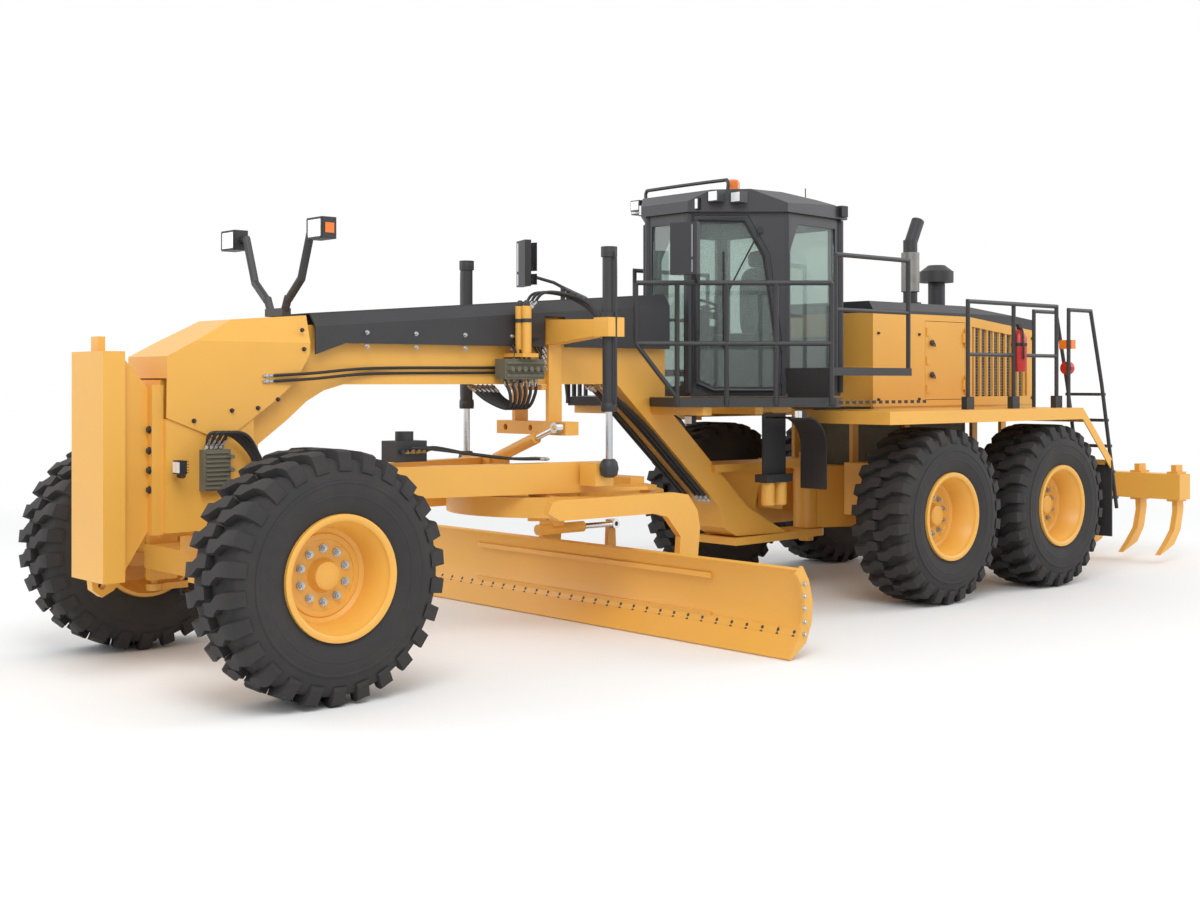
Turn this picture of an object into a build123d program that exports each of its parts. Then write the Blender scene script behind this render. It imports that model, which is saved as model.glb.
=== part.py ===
"""Six-wheeled motor grader with an articulated frame, a drawbar, circle and moldboard, and a rear ripper.

Millimetres. +X is forward, +Y is the machine's left, +Z is up, and the ground is at Z = 0.
The origin is on the ground under the middle of the machine's length.
"""
from math import atan2, cos, degrees, pi, radians, sin, sqrt
import os

from build123d import *

os.makedirs("parts", exist_ok=True)

# Layout
TANDEM_X = -2200.0          # middle of the rear tandem
TANDEM_SPACING = 1841.0     # between the two rear axles
WHEELBASE = 7365.0          # front axle to mid tandem
TRACK = 2703.0              # between tyre centre lines
FRONT_AXLE_X = TANDEM_X + WHEELBASE
WHEEL_Y = TRACK / 2
AXLE_Z = 805.0
RUN = 0.08                  # radial running clearance of a pin in its bore
FACE_GAP = 0.5              # between two faces that turn or slide on each other
GAP = 6.0                   # air between pieces that move past each other
SEAT = 0.3                  # a piece at rest on its seat

# Tyres and rims
TYRE_TIP_R = 797.0
TYRE_ROOT_R = 750.0
TYRE_HALF_W = 298.0
TREAD_HALF_W = 250.0
TYRE_SIDES = 24
LUGS_PER_ROW = 14
LUG_LENGTH = 275.0
LUG_WIDTH = 118.0
LUG_SLANT = 22.0
RIM_R = 380.0
RIM_HALF_W = 285.0
RIM_LIP = 26.0
DISH_R = 300.0
DISC_U = 40.0
DISC_T = 40.0
HUB_R = 112.0
HUB_CAP_R = 92.0
HUB_CAP_U = 115.0

# Front frame
BEAM_HALF_W = 200.0
BEAM_BOTTOM_Z = 2010.0
BEAM_FRONT_TOP_Z = 2436.0
BEAM_REAR_TOP_Z = 2625.0
BEAM_FRONT_X = 4600.0
BEAM_REAR_X = 980.0
HEAD_HALF_W = 287.7
HEAD_FRONT_X = 5690.0
HEAD_REAR_X = 4960.0
HEAD_BOTTOM_Z = 985.0
LEG_TOP_FRONT_X = 1554.0
LEG_FOOT_FRONT_X = 300.0
LEG_FOOT_Z = 904.0
LEG_DEPTH_X = 400.0
HITCH_X = -1150.0
HITCH_PIN_R = 70.0
HITCH_EAR_R = 170.0
HITCH_PLATE_T = 70.0
HITCH_LOWER_Z = 530.0
HITCH_UPPER_Z = 1210.0
FRAME_HALF_W = 250.0

# Covers
COVER_FRONT_X = 4540.0
COVER_REAR_X = 990.0
COVER_HALF_W = 272.0
COVER_T = 10.0
NOSE_HALF_W = 300.0
NOSE_T = 12.0

# Push block
BLOCK_FACE_X = 6107.0
BLOCK_HALF_W = 252.0
BLOCK_T = 150.0
BLOCK_BOTTOM_Z = 715.0
BLOCK_TOP_Z = 2229.0
FLANGE_X = 5690.3
FLANGE_T = 80.0
TOW_PLATE_T = 80.0
TOW_HOLE_X = 6020.0
TOW_HOLE_Z = 680.0
TOW_HOLE_R = 28.0

# Blade group
BALL_X = 4720.0
BALL_Z = 1260.0
BALL_PIN_R = 36.0
CIRCLE_X = 2070.0
CIRCLE_R = 911.0
CIRCLE_RING_W = 110.0
CIRCLE_BOTTOM_Z = 965.0
CIRCLE_TOP_Z = 1125.0
DRAWBAR_PLATE_T = 30.0
DRAWBAR_REAR_Y = 800.0
DRAWBAR_SIDE_T = 120.0
DRAWBAR_SIDE_TOP_Z = 1390.0
LIFT_X = 2300.0
LIFT_Y = 930.0
LIFT_TOP_Z = 3088.0
LIFT_BARREL_R = 52.0
LIFT_ROD_R = 27.0
LIFT_BARREL_BOTTOM_Z = 1795.0
LIFT_BALL_Z = 1350.0
LIFT_EYE_R = 48.0
TRUNNION_Z = 2458.0
ARM_Y = 880.0
ARM_T = 60.0
TIP_CYLINDER_Z = 800.0
TIP_ROD_Y = 21.0
TIP_ROD_R = 24.0
SLIDE_X = 1640.0
SLIDE_LOW_Z = 210.0
SLIDE_HIGH_Z = 520.0
SLIDE_H = 40.0
SLIDE_GAP = 0.5
SLIDE_HALF_L = 1500.0
SHIFT_X = 2400.0
SHIFT_START_Y = -450.0
SHIFT_START_Z = 1360.0
SHIFT_END_Y = 410.0
SHIFT_END_Z = 1660.0
SHIFT_PIN_R = 20.0
BLADE_ARC_X = 2128.0
BLADE_ARC_Z = 372.0
TIP_X = 1415.0
TIP_Z = 350.0
BLADE_LENGTH = 4880.0
BLADE_HEIGHT = 787.0
BLADE_ARC_R = 430.0
BLADE_T = 25.0
BLADE_EDGE_X = 1905.0
BLADE_EDGE_Z = 4.0

# Cab
CAB_FRONT_X = 750.0
CAB_FRONT_HALF_W = 280.0
CAB_MID_X = 130.0
CAB_MID_HALF_W = 850.0
CAB_REAR_X = -750.0
CAB_REAR_HALF_W = 760.0
CAB_FLOOR_Z = 1900.0
CAB_EAVE_Z = 3530.0
CAB_WALL = 50.0
CAB_FLOOR_T = 60.0
GLASS_T = 8.0
PLATE_BOTTOM_Z = 1816.0
PLATE_TOP_Z = 1895.0
CARRIER_BOTTOM_Z = 1745.0
GLASS_INSET = 20.0

# Kingpins and steering
KINGPIN_Y = 1000.0
KINGPIN_R = 30.0
KNUCKLE_R = 50.0
AXLE_BOTTOM_Z = 560.0
AXLE_TOP_Z = 1050.0
AXLE_EAR_T = 60.0
AXLE_END_HALF_X = 110.0
SPINDLE_R = 80.0
STEER_ARM = 230.0
STEER_ARM_Z = 490.0
STEER_ARM_T = 48.0
TIE_PIN_R = 18.0
TIE_ROD_R = 26.0

# Rear frame
RAIL_FRONT_X = -1500.0
RAIL_REAR_X = -4000.0
RAIL_Y = 350.0
RAIL_W = 140.0
RAIL_BOTTOM_Z = 900.0
RAIL_TOP_Z = 1180.0
TANDEM_CASE_Y = 830.0
TANDEM_CASE_W = 160.0
TANDEM_CASE_HALF_L = 1130.0
TANDEM_CASE_HALF_H = 235.0
FINAL_DRIVE_R = 190.0
HOOD_FRONT_X = -1370.0
HOOD_REAR_X = -4200.0
HOOD_HALF_W = 650.0
HOOD_BOTTOM_Z = 1790.0
HOOD_TOP_Z = 2700.0
HOOD_SLOPE_X = -2950.0
HOOD_REAR_TOP_Z = 2580.0
HOOD_T = 40.0
ENGINE_TOP_Z = 2300.0
HOOD_LID_T = 112.0
DOOR_FRONT_X = -2200.0
DOOR_REAR_X = -2880.0
DOOR_BOTTOM_Z = 1850.0
DOOR_TOP_Z = 2640.0
DOOR_GAP = 5.0
FENDER_FRONT_X = -350.0
FENDER_BEND_X = -3500.0
FENDER_REAR_X = -4070.0
FENDER_TOP_Z = 1770.0
FENDER_REAR_Z = 1225.0
FENDER_OUTER_Y = 1630.0
FENDER_T = 12.0
CROSS_TOP_Z = FENDER_TOP_Z - FENDER_T - SEAT
FENDER_SKIRT = 115.0
RAIL_TUBE_R = 21.0

# Ripper
RIPPER_PIVOT_X = -4080.0
RIPPER_PIVOT_Z = 620.0
RIPPER_ARM_DX = -1620.0
RIPPER_ARM_DZ = 140.0
RIPPER_LINK_RISE = 260.0
RIPPER_ARM_Y = 450.0
RIPPER_ARM_T = 70.0
RIPPER_PIN_R = 35.0
RIPPER_CYL_Y = 200.0
RIPPER_CYL_X = -4080.0
RIPPER_CYL_Z = 1130.0
RIPPER_EYE_DX = 60.0
RIPPER_EYE_DZ = 40.0
RIPPER_BEAM_HALF_L = 1450.0
RIPPER_BEAM_FRONT_X = -5800.0
RIPPER_BEAM_REAR_X = -6080.0
RIPPER_BEAM_BOTTOM_Z = 705.0
RIPPER_BEAM_TOP_Z = 990.0
SHANK_SPACING = 445.0
SHANK_COUNT = 7
SHANK_T = 60.0


def side_outline(points, y):
    """A closed outline in X and Z at Y = y. Extruding it by an amount goes towards -Y."""
    with BuildSketch(Plane.XZ.offset(-y)) as sketch:
        with BuildLine():
            Polyline(*points, close=True)
        make_face()
    return sketch.sketch


def plan_outline(points, z):
    """A closed outline in X and Y at height z. Extruding it goes up."""
    with BuildSketch(Plane.XY.offset(z)) as sketch:
        with BuildLine():
            Polyline(*points, close=True)
        make_face()
    return sketch.sketch


def front_outline(points, x):
    """A closed outline in Y and Z at X = x. Extruding it goes forward."""
    with BuildSketch(Plane.YZ.offset(x)) as sketch:
        with BuildLine():
            Polyline(*points, close=True)
        make_face()
    return sketch.sketch


def both_sides(points):
    """Points on the left with their mirror on the right, as one closed outline."""
    return list(points) + [(a, -b) for a, b in reversed(points)]


def both_sides_front(points):
    """As both_sides, for points given as Y and Z."""
    return list(points) + [(-a, b) for a, b in reversed(points)]


def bar(start, end, radius):
    """A straight round bar between two points."""
    start, end = Vector(*start), Vector(*end)
    along = end - start
    with BuildPart() as rod:
        with BuildSketch(Plane(origin=start, z_dir=along)):
            Circle(radius)
        extrude(amount=along.length)
    return rod.part


def rail(points, radius=RAIL_TUBE_R):
    """A rail of eight-sided tube along straight runs, mitred at its corners."""
    with BuildPart() as tube:
        with BuildLine() as path:
            Polyline(*points)
        with BuildSketch(Plane(origin=path.line @ 0, z_dir=path.line % 0)):
            RegularPolygon(radius, 8)
        sweep(transition=Transition.RIGHT)
    return tube.part


def save(part, label):
    """Name a finished piece and write it to its own file."""
    part.label = label
    export_step(part, f"parts/{label}.step")


def save_pair(left, name):
    """Write a left-hand piece and its mirror image on the right."""
    save(left, f"{name}_left")
    save(mirror(left, about=Plane.XZ), f"{name}_right")


# Tyre: a many-sided carcass with two staggered rows of slanted lugs
def tyre_ring(radius, u):
    """One section of the carcass, on the plane at u along the axle."""
    with BuildSketch(Plane.XZ.offset(-u)) as ring:
        RegularPolygon(radius, TYRE_SIDES)
    return ring.sketch


TYRE_SECTIONS = [
    (RIM_R + 22, -TYRE_HALF_W + 20),
    (RIM_R + 210, -TYRE_HALF_W),
    (TYRE_ROOT_R, -TREAD_HALF_W),
    (TYRE_ROOT_R, TREAD_HALF_W),
    (RIM_R + 210, TYRE_HALF_W),
    (RIM_R + 22, TYRE_HALF_W - 20),
]
TYRE_BORE_R = (RIM_R + SEAT) / cos(pi / TYRE_SIDES)

with BuildPart() as tyre:
    for (inner_r, inner_u), (outer_r, outer_u) in zip(TYRE_SECTIONS, TYRE_SECTIONS[1:]):
        loft([tyre_ring(inner_r, inner_u), tyre_ring(outer_r, outer_u)], ruled=True)
    extrude(tyre_ring(TYRE_BORE_R, TYRE_HALF_W), amount=2 * TYRE_HALF_W, mode=Mode.SUBTRACT)
    for row in (-1, 1):
        for lug in range(LUGS_PER_ROW):
            turn = radians(360 / LUGS_PER_ROW * (lug + 0.25 * row))
            out = Vector(cos(turn), 0, sin(turn))
            skew = radians(row * LUG_SLANT)
            across = Vector(0, 1, 0) * cos(skew) + Vector(-sin(turn), 0, cos(turn)) * sin(skew)
            seat = Plane(
                origin=out * TYRE_TIP_R + Vector(0, row * (LUG_LENGTH / 2 + 8), 0), x_dir=across, z_dir=out
            )
            with BuildSketch(seat):
                Rectangle(LUG_LENGTH, LUG_WIDTH)
            extrude(amount=-(TYRE_TIP_R - TYRE_ROOT_R + 40))

# Rim: barrel, deep dish, disc and hub turned in one outline
with BuildPart() as rim:
    with BuildSketch(Plane.XY):
        with BuildLine():
            Polyline(
                (0, 0),
                (DISH_R - 20, 0),
                (RIM_R - 12, -RIM_HALF_W),
                (RIM_R, -RIM_HALF_W),
                (RIM_R, RIM_HALF_W),
                (RIM_R - RIM_LIP, RIM_HALF_W),
                (DISH_R, DISC_U),
                (HUB_R, DISC_U),
                (HUB_CAP_R, HUB_CAP_U),
                (0, HUB_CAP_U),
                close=True,
            )
        make_face()
    revolve(axis=Axis.Y)

WHEELS = [
    ("front", FRONT_AXLE_X),
    ("middle", TANDEM_X + TANDEM_SPACING / 2),
    ("rear", TANDEM_X - TANDEM_SPACING / 2),
]
for wheel_name, wheel_x in WHEELS:
    spot = Location((wheel_x, WHEEL_Y, AXLE_Z))
    save_pair(tyre.part.moved(spot), f"tyre_{wheel_name}")
    save_pair(rim.part.moved(spot), f"rim_{wheel_name}")

# Front frame: gooseneck beam, head, leg and the two plates of the centre hitch
GOOSENECK = [
    (BEAM_REAR_X, BEAM_REAR_TOP_Z),
    (BEAM_FRONT_X, BEAM_FRONT_TOP_Z),
    (5180, 2290),
    (5500, 2090),
    (HEAD_FRONT_X, 2040),
    (HEAD_FRONT_X, HEAD_BOTTOM_Z),
    (HEAD_REAR_X, HEAD_BOTTOM_Z),
    (HEAD_REAR_X, 1590),
    (4730, 1757),
    (4571, 1889),
    (4428, 1967),
    (4263, BEAM_BOTTOM_Z),
    (LEG_TOP_FRONT_X, BEAM_BOTTOM_Z),
    (LEG_FOOT_FRONT_X, LEG_FOOT_Z),
    (LEG_FOOT_FRONT_X - 66, 700),
    (60, 612),
    (-640, HITCH_LOWER_Z + HITCH_PLATE_T),
    (LEG_FOOT_FRONT_X - LEG_DEPTH_X, LEG_FOOT_Z - 40),
    (870, 1733),
    (BEAM_REAR_X, 1850),
]
LEG_BACK_AT_UPPER = 330.0


def hitch_plate(front_x):
    """Plan of one hitch plate: a round end on the pin, widening forward to the frame."""
    with BuildSketch(Plane.XY) as plate:
        with Locations((HITCH_X, 0)):
            Circle(HITCH_EAR_R)
        with BuildLine():
            Polyline(
                *both_sides([(front_x, FRAME_HALF_W), (front_x - 120, FRAME_HALF_W), (HITCH_X, HITCH_EAR_R)]),
                close=True,
            )
        make_face()
        with Locations((HITCH_X, 0)):
            Circle(HITCH_PIN_R + RUN, mode=Mode.SUBTRACT)
    return plate.sketch


with BuildPart() as front_frame:
    extrude(side_outline(GOOSENECK, BEAM_HALF_W), amount=2 * BEAM_HALF_W)
    extrude(hitch_plate(120).moved(Location((0, 0, HITCH_LOWER_Z))), amount=HITCH_PLATE_T)
    extrude(hitch_plate(LEG_BACK_AT_UPPER + 60).moved(Location((0, 0, HITCH_UPPER_Z))), amount=HITCH_PLATE_T)
    web = [
        (LEG_BACK_AT_UPPER, HITCH_UPPER_Z),
        (-620, HITCH_UPPER_Z),
        (-430, 1040),
        (-380, 860),
        (-520, HITCH_LOWER_Z + HITCH_PLATE_T),
        (0, HITCH_LOWER_Z + HITCH_PLATE_T),
        (-60, 880),
    ]
    extrude(side_outline(web, 30), amount=60)
    with Locations(((HEAD_FRONT_X + HEAD_REAR_X) / 2 + 40, 0, 1400)):
        Box(HEAD_FRONT_X - HEAD_REAR_X - 80, 2 * HEAD_HALF_W, 760)
    with Locations(((990 - 610) / 2, 0, (CARRIER_BOTTOM_Z + CAB_FLOOR_Z - SEAT) / 2)):
        Box(1600, 560, CAB_FLOOR_Z - SEAT - CARRIER_BOTTOM_Z)
    for carrier_x in (450, 1090):
        with Locations((carrier_x, 0, (CARRIER_BOTTOM_Z + PLATE_BOTTOM_Z - SEAT) / 2)):
            Box(100, 1660, PLATE_BOTTOM_Z - SEAT - CARRIER_BOTTOM_Z)
    for tab_x in (4100, 3500, 2900, 1500):
        with Locations((tab_x, 0, 2360)):
            Box(70, 2 * (COVER_HALF_W - COVER_T - SEAT), 60)
    for side in (-1, 1):
        with Locations(((HEAD_REAR_X + BALL_X) / 2 - 20, side * 95, BALL_Z)):
            Box(HEAD_REAR_X - BALL_X + 120, 46, 150)
    with Locations(Location((BALL_X, 0, BALL_Z), (90, 0, 0))):
        Cylinder(BALL_PIN_R + RUN, 400, mode=Mode.SUBTRACT)
save(front_frame.part, "front_frame")

# Push block: a front slab on a tapering web, bolted by its flange to the head
with BuildPart() as push_block:
    slab = [
        (BLOCK_FACE_X, BLOCK_BOTTOM_Z),
        (BLOCK_FACE_X, BLOCK_TOP_Z),
        (BLOCK_FACE_X - BLOCK_T, BLOCK_TOP_Z),
        (BLOCK_FACE_X - BLOCK_T, BLOCK_BOTTOM_Z),
    ]
    extrude(side_outline(slab, BLOCK_HALF_W), amount=2 * BLOCK_HALF_W)
    taper = [
        (BLOCK_FACE_X - BLOCK_T, BLOCK_BOTTOM_Z + 20),
        (BLOCK_FACE_X - BLOCK_T, BLOCK_TOP_Z - 20),
        (FLANGE_X + FLANGE_T, 1990),
        (FLANGE_X + FLANGE_T, 1030),
    ]
    extrude(side_outline(taper, BLOCK_HALF_W - 70), amount=2 * (BLOCK_HALF_W - 70))
    with Locations((FLANGE_X + FLANGE_T / 2, 0, 1508)):
        Box(FLANGE_T, 2 * BLOCK_HALF_W, 1000)
    with Locations((BLOCK_FACE_X - BLOCK_T / 2, 0, BLOCK_TOP_Z + 45)):
        Box(50, 110, 110)
    tow_plate = [(6100, 780), (6085, 650), (6020, 600), (5940, 640), (5860, 730), (5860, 800)]
    extrude(side_outline(tow_plate, TOW_PLATE_T / 2), amount=TOW_PLATE_T)
    with Locations(Location((TOW_HOLE_X, 0, TOW_HOLE_Z), (90, 0, 0))):
        Cylinder(TOW_HOLE_R, 2 * TOW_PLATE_T, mode=Mode.SUBTRACT)
save(push_block.part, "push_block")

# Nose cover: a folded sheet over the head, open underneath and at the back
NOSE_SIDE = [
    (5685, 2075),
    (5690, 1789),
    (5275, 1623),
    (4860, 1910),
    (4707, 2044),
    (4603, 2226),
    (4590, 2506),
    (5185, 2460),
    (5687, 2200),
]
NOSE_FOLD = 110.0


def nose_solid(inset):
    """The nose cover as a full block, drawn in by an inset on every side."""
    with BuildPart() as block:
        extrude(side_outline(NOSE_SIDE, NOSE_HALF_W - inset), amount=2 * (NOSE_HALF_W - inset))
        with BuildSketch(Plane.YZ.offset(4000)):
            with BuildLine():
                half, low = NOSE_HALF_W - inset, 1500
                Polyline(
                    (-half, low),
                    (half, low),
                    (half, 2306 - inset),
                    (half - NOSE_FOLD, 2600 - inset),
                    (-half + NOSE_FOLD, 2600 - inset),
                    (-half, 2306 - inset),
                    close=True,
                )
            make_face()
        extrude(amount=2000, mode=Mode.INTERSECT)
    return block.part


with BuildPart() as nose_cover:
    add(nose_solid(0))
    add(nose_solid(NOSE_T).moved(Location((-NOSE_T, 0, -NOSE_T - 4))), mode=Mode.SUBTRACT)
    with Locations((HEAD_FRONT_X, 0, 1750)):
        Box(100, 2 * (NOSE_HALF_W - NOSE_T), 604, mode=Mode.SUBTRACT)
    with Locations((5120, 0, 1500)):
        Box(1100, 2 * (NOSE_HALF_W - NOSE_T), 700, mode=Mode.SUBTRACT)
save(nose_cover.part, "nose_cover")

# Front axle: a beam under the head with an ear above and below each kingpin
with BuildPart() as front_axle:
    with Locations((FRONT_AXLE_X, 0, 740)):
        Box(260, 2 * (KINGPIN_Y - 110), 180)
    with Locations((FRONT_AXLE_X, 0, (830 + HEAD_BOTTOM_Z) / 2)):
        Box(360, 420, HEAD_BOTTOM_Z - 830)
    for side in (-1, 1):
        with Locations((FRONT_AXLE_X, side * (KINGPIN_Y - 125), (AXLE_BOTTOM_Z + AXLE_TOP_Z) / 2)):
            Box(2 * AXLE_END_HALF_X, 60, AXLE_TOP_Z - AXLE_BOTTOM_Z)
        for ear_z in (AXLE_BOTTOM_Z + AXLE_EAR_T / 2, AXLE_TOP_Z - AXLE_EAR_T / 2):
            with Locations((FRONT_AXLE_X, side * KINGPIN_Y, ear_z)):
                Cylinder(66, AXLE_EAR_T)
            with Locations((FRONT_AXLE_X, side * (KINGPIN_Y - 55), ear_z)):
                Box(132, 110, AXLE_EAR_T)
        with Locations((FRONT_AXLE_X, side * KINGPIN_Y, AXLE_Z)):
            Cylinder(KINGPIN_R + RUN, 700, mode=Mode.SUBTRACT)
    with Locations((FRONT_AXLE_X, 0, 650)):
        Box(300, 300, 60)
save(front_axle.part, "front_axle")

# Knuckle: post and kingpin, spindle with flange, and the steering arm behind it
KNUCKLE_BOTTOM_Z = AXLE_BOTTOM_Z + AXLE_EAR_T + GAP
KNUCKLE_TOP_Z = AXLE_TOP_Z - AXLE_EAR_T - GAP
FLANGE_FACE_Y = WHEEL_Y - FACE_GAP

with BuildPart() as knuckle:
    with Locations((FRONT_AXLE_X, KINGPIN_Y, (KNUCKLE_BOTTOM_Z + KNUCKLE_TOP_Z) / 2)):
        Cylinder(KNUCKLE_R, KNUCKLE_TOP_Z - KNUCKLE_BOTTOM_Z)
    with Locations((FRONT_AXLE_X, KINGPIN_Y, (AXLE_TOP_Z + 470) / 2)):
        Cylinder(KINGPIN_R, AXLE_TOP_Z - 470)
    with Locations(Location((FRONT_AXLE_X, (KINGPIN_Y + FLANGE_FACE_Y) / 2, AXLE_Z), (90, 0, 0))):
        Cylinder(SPINDLE_R, FLANGE_FACE_Y - KINGPIN_Y)
    with Locations(Location((FRONT_AXLE_X, FLANGE_FACE_Y - 30, AXLE_Z), (90, 0, 0))):
        Cylinder(190, 60)
    with Locations((FRONT_AXLE_X - STEER_ARM / 2, KINGPIN_Y, STEER_ARM_Z)):
        Box(STEER_ARM, 70, STEER_ARM_T)
    with Locations((FRONT_AXLE_X - STEER_ARM, KINGPIN_Y, STEER_ARM_Z)):
        Cylinder(40, STEER_ARM_T)
    with Locations((FRONT_AXLE_X, KINGPIN_Y, STEER_ARM_Z)):
        Cylinder(62, STEER_ARM_T)
    with Locations((FRONT_AXLE_X - STEER_ARM, KINGPIN_Y, STEER_ARM_Z)):
        Cylinder(TIE_PIN_R + RUN, 200, mode=Mode.SUBTRACT)
save_pair(knuckle.part, "knuckle")

# Tie rod: hangs by a pin at each end under the two steering arms
TIE_Z = STEER_ARM_Z - STEER_ARM_T / 2 - GAP - 25
with BuildPart() as tie_rod:
    add(bar((FRONT_AXLE_X - STEER_ARM, -KINGPIN_Y, TIE_Z), (FRONT_AXLE_X - STEER_ARM, KINGPIN_Y, TIE_Z), 22))
    for side in (-1, 1):
        with Locations((FRONT_AXLE_X - STEER_ARM, side * KINGPIN_Y, TIE_Z)):
            Cylinder(34, 50)
        with Locations((FRONT_AXLE_X - STEER_ARM, side * KINGPIN_Y, (TIE_Z + STEER_ARM_Z + 20) / 2)):
            Cylinder(TIE_PIN_R, STEER_ARM_Z + 20 - TIE_Z)
save(tie_rod.part, "tie_rod")

# Blade saddle: yoke round the beam, trunnion arms for the lift cylinders and the link bar below
BARREL_SEAT_R = LIFT_BARREL_R + SEAT
LINK_BAR_Z = 1650.0
with BuildPart() as blade_saddle:
    for side in (-1, 1):
        with Locations((LIFT_X - 30, side * (BEAM_HALF_W + SEAT + 20), 2060)):
            Box(140, 40, 900)
        lug = [(side * 240, 2536), (side * (LIFT_Y - 40), 2520), (side * (LIFT_Y - 40), 2396), (side * 240, 2330)]
        extrude(front_outline(lug, LIFT_X - 75), amount=150)
        with Locations((LIFT_X, side * LIFT_Y, TRUNNION_Z)):
            Box(170, 170, 150)
            Cylinder(BARREL_SEAT_R, 400, mode=Mode.SUBTRACT)
    with Locations((LIFT_X - 30, 0, LINK_BAR_Z)):
        Box(140, 900, 110)
    for hole_y in (-330, 0, 330):
        with Locations(Location((LIFT_X - 30, hole_y, LINK_BAR_Z), (0, 90, 0))):
            Cylinder(26, 300, mode=Mode.SUBTRACT)
    with Locations(Location((SHIFT_X - 12, SHIFT_END_Y, SHIFT_END_Z), (0, 90, 0))):
        Cylinder(SHIFT_PIN_R - RUN, 96)
    with Locations((LIFT_X, 0, 1985)):
        Box(200, 440, 46)
save(blade_saddle.part, "blade_saddle")

# Lift barrels and their rods
with BuildPart() as lift_barrels:
    for side in (-1, 1):
        with Locations((LIFT_X, side * LIFT_Y, (LIFT_BARREL_BOTTOM_Z + LIFT_TOP_Z) / 2)):
            Cylinder(LIFT_BARREL_R, LIFT_TOP_Z - LIFT_BARREL_BOTTOM_Z)
        with Locations((LIFT_X, side * LIFT_Y, LIFT_TOP_Z - 40)):
            Cylinder(LIFT_BARREL_R + 12, 80)
        with Locations((LIFT_X, side * LIFT_Y, TRUNNION_Z + 75 + SEAT + 20)):
            Cylinder(LIFT_BARREL_R + 18, 40)
        with Locations((LIFT_X, side * LIFT_Y, LIFT_BARREL_BOTTOM_Z + 40)):
            Cylinder(LIFT_BARREL_R + 10, 80)
        with Locations((LIFT_X, side * LIFT_Y, (LIFT_BARREL_BOTTOM_Z + 2960) / 2)):
            Cylinder(LIFT_ROD_R + RUN, 2960 - LIFT_BARREL_BOTTOM_Z, mode=Mode.SUBTRACT)
save(lift_barrels.part, "lift_barrels")

LIFT_ROD_TOP_Z = 2450.0
with BuildPart() as lift_rod:
    with Locations((LIFT_X, LIFT_Y, (LIFT_BALL_Z + LIFT_ROD_TOP_Z) / 2)):
        Cylinder(LIFT_ROD_R, LIFT_ROD_TOP_Z - LIFT_BALL_Z)
    with Locations((LIFT_X, LIFT_Y, LIFT_BALL_Z)):
        Cylinder(LIFT_EYE_R, 2 * LIFT_EYE_R, rotation=(90, 0, 0))
save_pair(lift_rod.part, "lift_rod")

# Drawbar: an A of two side beams on a plate, with its ball at the front
def drawbar_half_width(x):
    """Half the drawbar's width at a station."""
    return 110 + (BALL_X - 120 - x) * (DRAWBAR_REAR_Y - 110) / (BALL_X - 120 - DRAWBAR_REAR_X)


DRAWBAR_REAR_X = 1760.0
DRAWBAR_BEAM_REAR_X = 2080.0
DRAWBAR_BOTTOM_Z = 1150.0
CIRCLE_HOLE_R = 560.0
with BuildPart() as drawbar:
    outline = both_sides(
        [
            (BALL_X - 120, 110),
            (DRAWBAR_REAR_X, DRAWBAR_REAR_Y),
            (DRAWBAR_REAR_X - 160, DRAWBAR_REAR_Y - 60),
            (DRAWBAR_REAR_X - 260, 500),
        ]
    )
    with BuildSketch(Plane.XY.offset(DRAWBAR_BOTTOM_Z)):
        with BuildLine():
            Polyline(*outline, close=True)
        make_face()
        with Locations((CIRCLE_X, 0)):
            Circle(CIRCLE_HOLE_R, mode=Mode.SUBTRACT)
    extrude(amount=DRAWBAR_PLATE_T)
    for side in (-1, 1):
        beam = [
            (BALL_X - 120, side * 110),
            (DRAWBAR_BEAM_REAR_X, side * drawbar_half_width(DRAWBAR_BEAM_REAR_X)),
            (DRAWBAR_BEAM_REAR_X, side * (drawbar_half_width(DRAWBAR_BEAM_REAR_X) - DRAWBAR_SIDE_T)),
            (BALL_X - 120, side * 20),
        ]
        extrude(plan_outline(beam, DRAWBAR_BOTTOM_Z), amount=DRAWBAR_SIDE_TOP_Z - DRAWBAR_BOTTOM_Z)
        with Locations((LIFT_X, side * (LIFT_Y - LIFT_EYE_R - GAP - 93), 1300)):
            Box(190, 186, 180)
    with Locations((BALL_X - 90, 0, BALL_Z)):
        Box(180, 140, 150)
    with Locations(Location((BALL_X, 0, BALL_Z), (90, 0, 0))):
        Cylinder(75, 140)
        Cylinder(BALL_PIN_R, 250)
    with Locations((3150, 0, 1240)):
        Cylinder(150, 180)
    with Locations((SHIFT_X + 46, SHIFT_START_Y, 1280)):
        Box(24, 84, 240)
    with Locations((1640, 0, 1200)):
        Box(160, 1100, 80)
    for turn in (40, 140, 220, 320):
        with Locations((CIRCLE_X, 0)):
            with PolarLocations(CIRCLE_R - CIRCLE_RING_W - 50, 1, turn):
                with Locations((0, 0, (DRAWBAR_BOTTOM_Z + 930) / 2)):
                    Box(70, 150, DRAWBAR_BOTTOM_Z - 930)
                with Locations((45, 0, CIRCLE_BOTTOM_Z - FACE_GAP - 14)):
                    Box(60, 150, 28)
save(drawbar.part, "drawbar")

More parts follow.
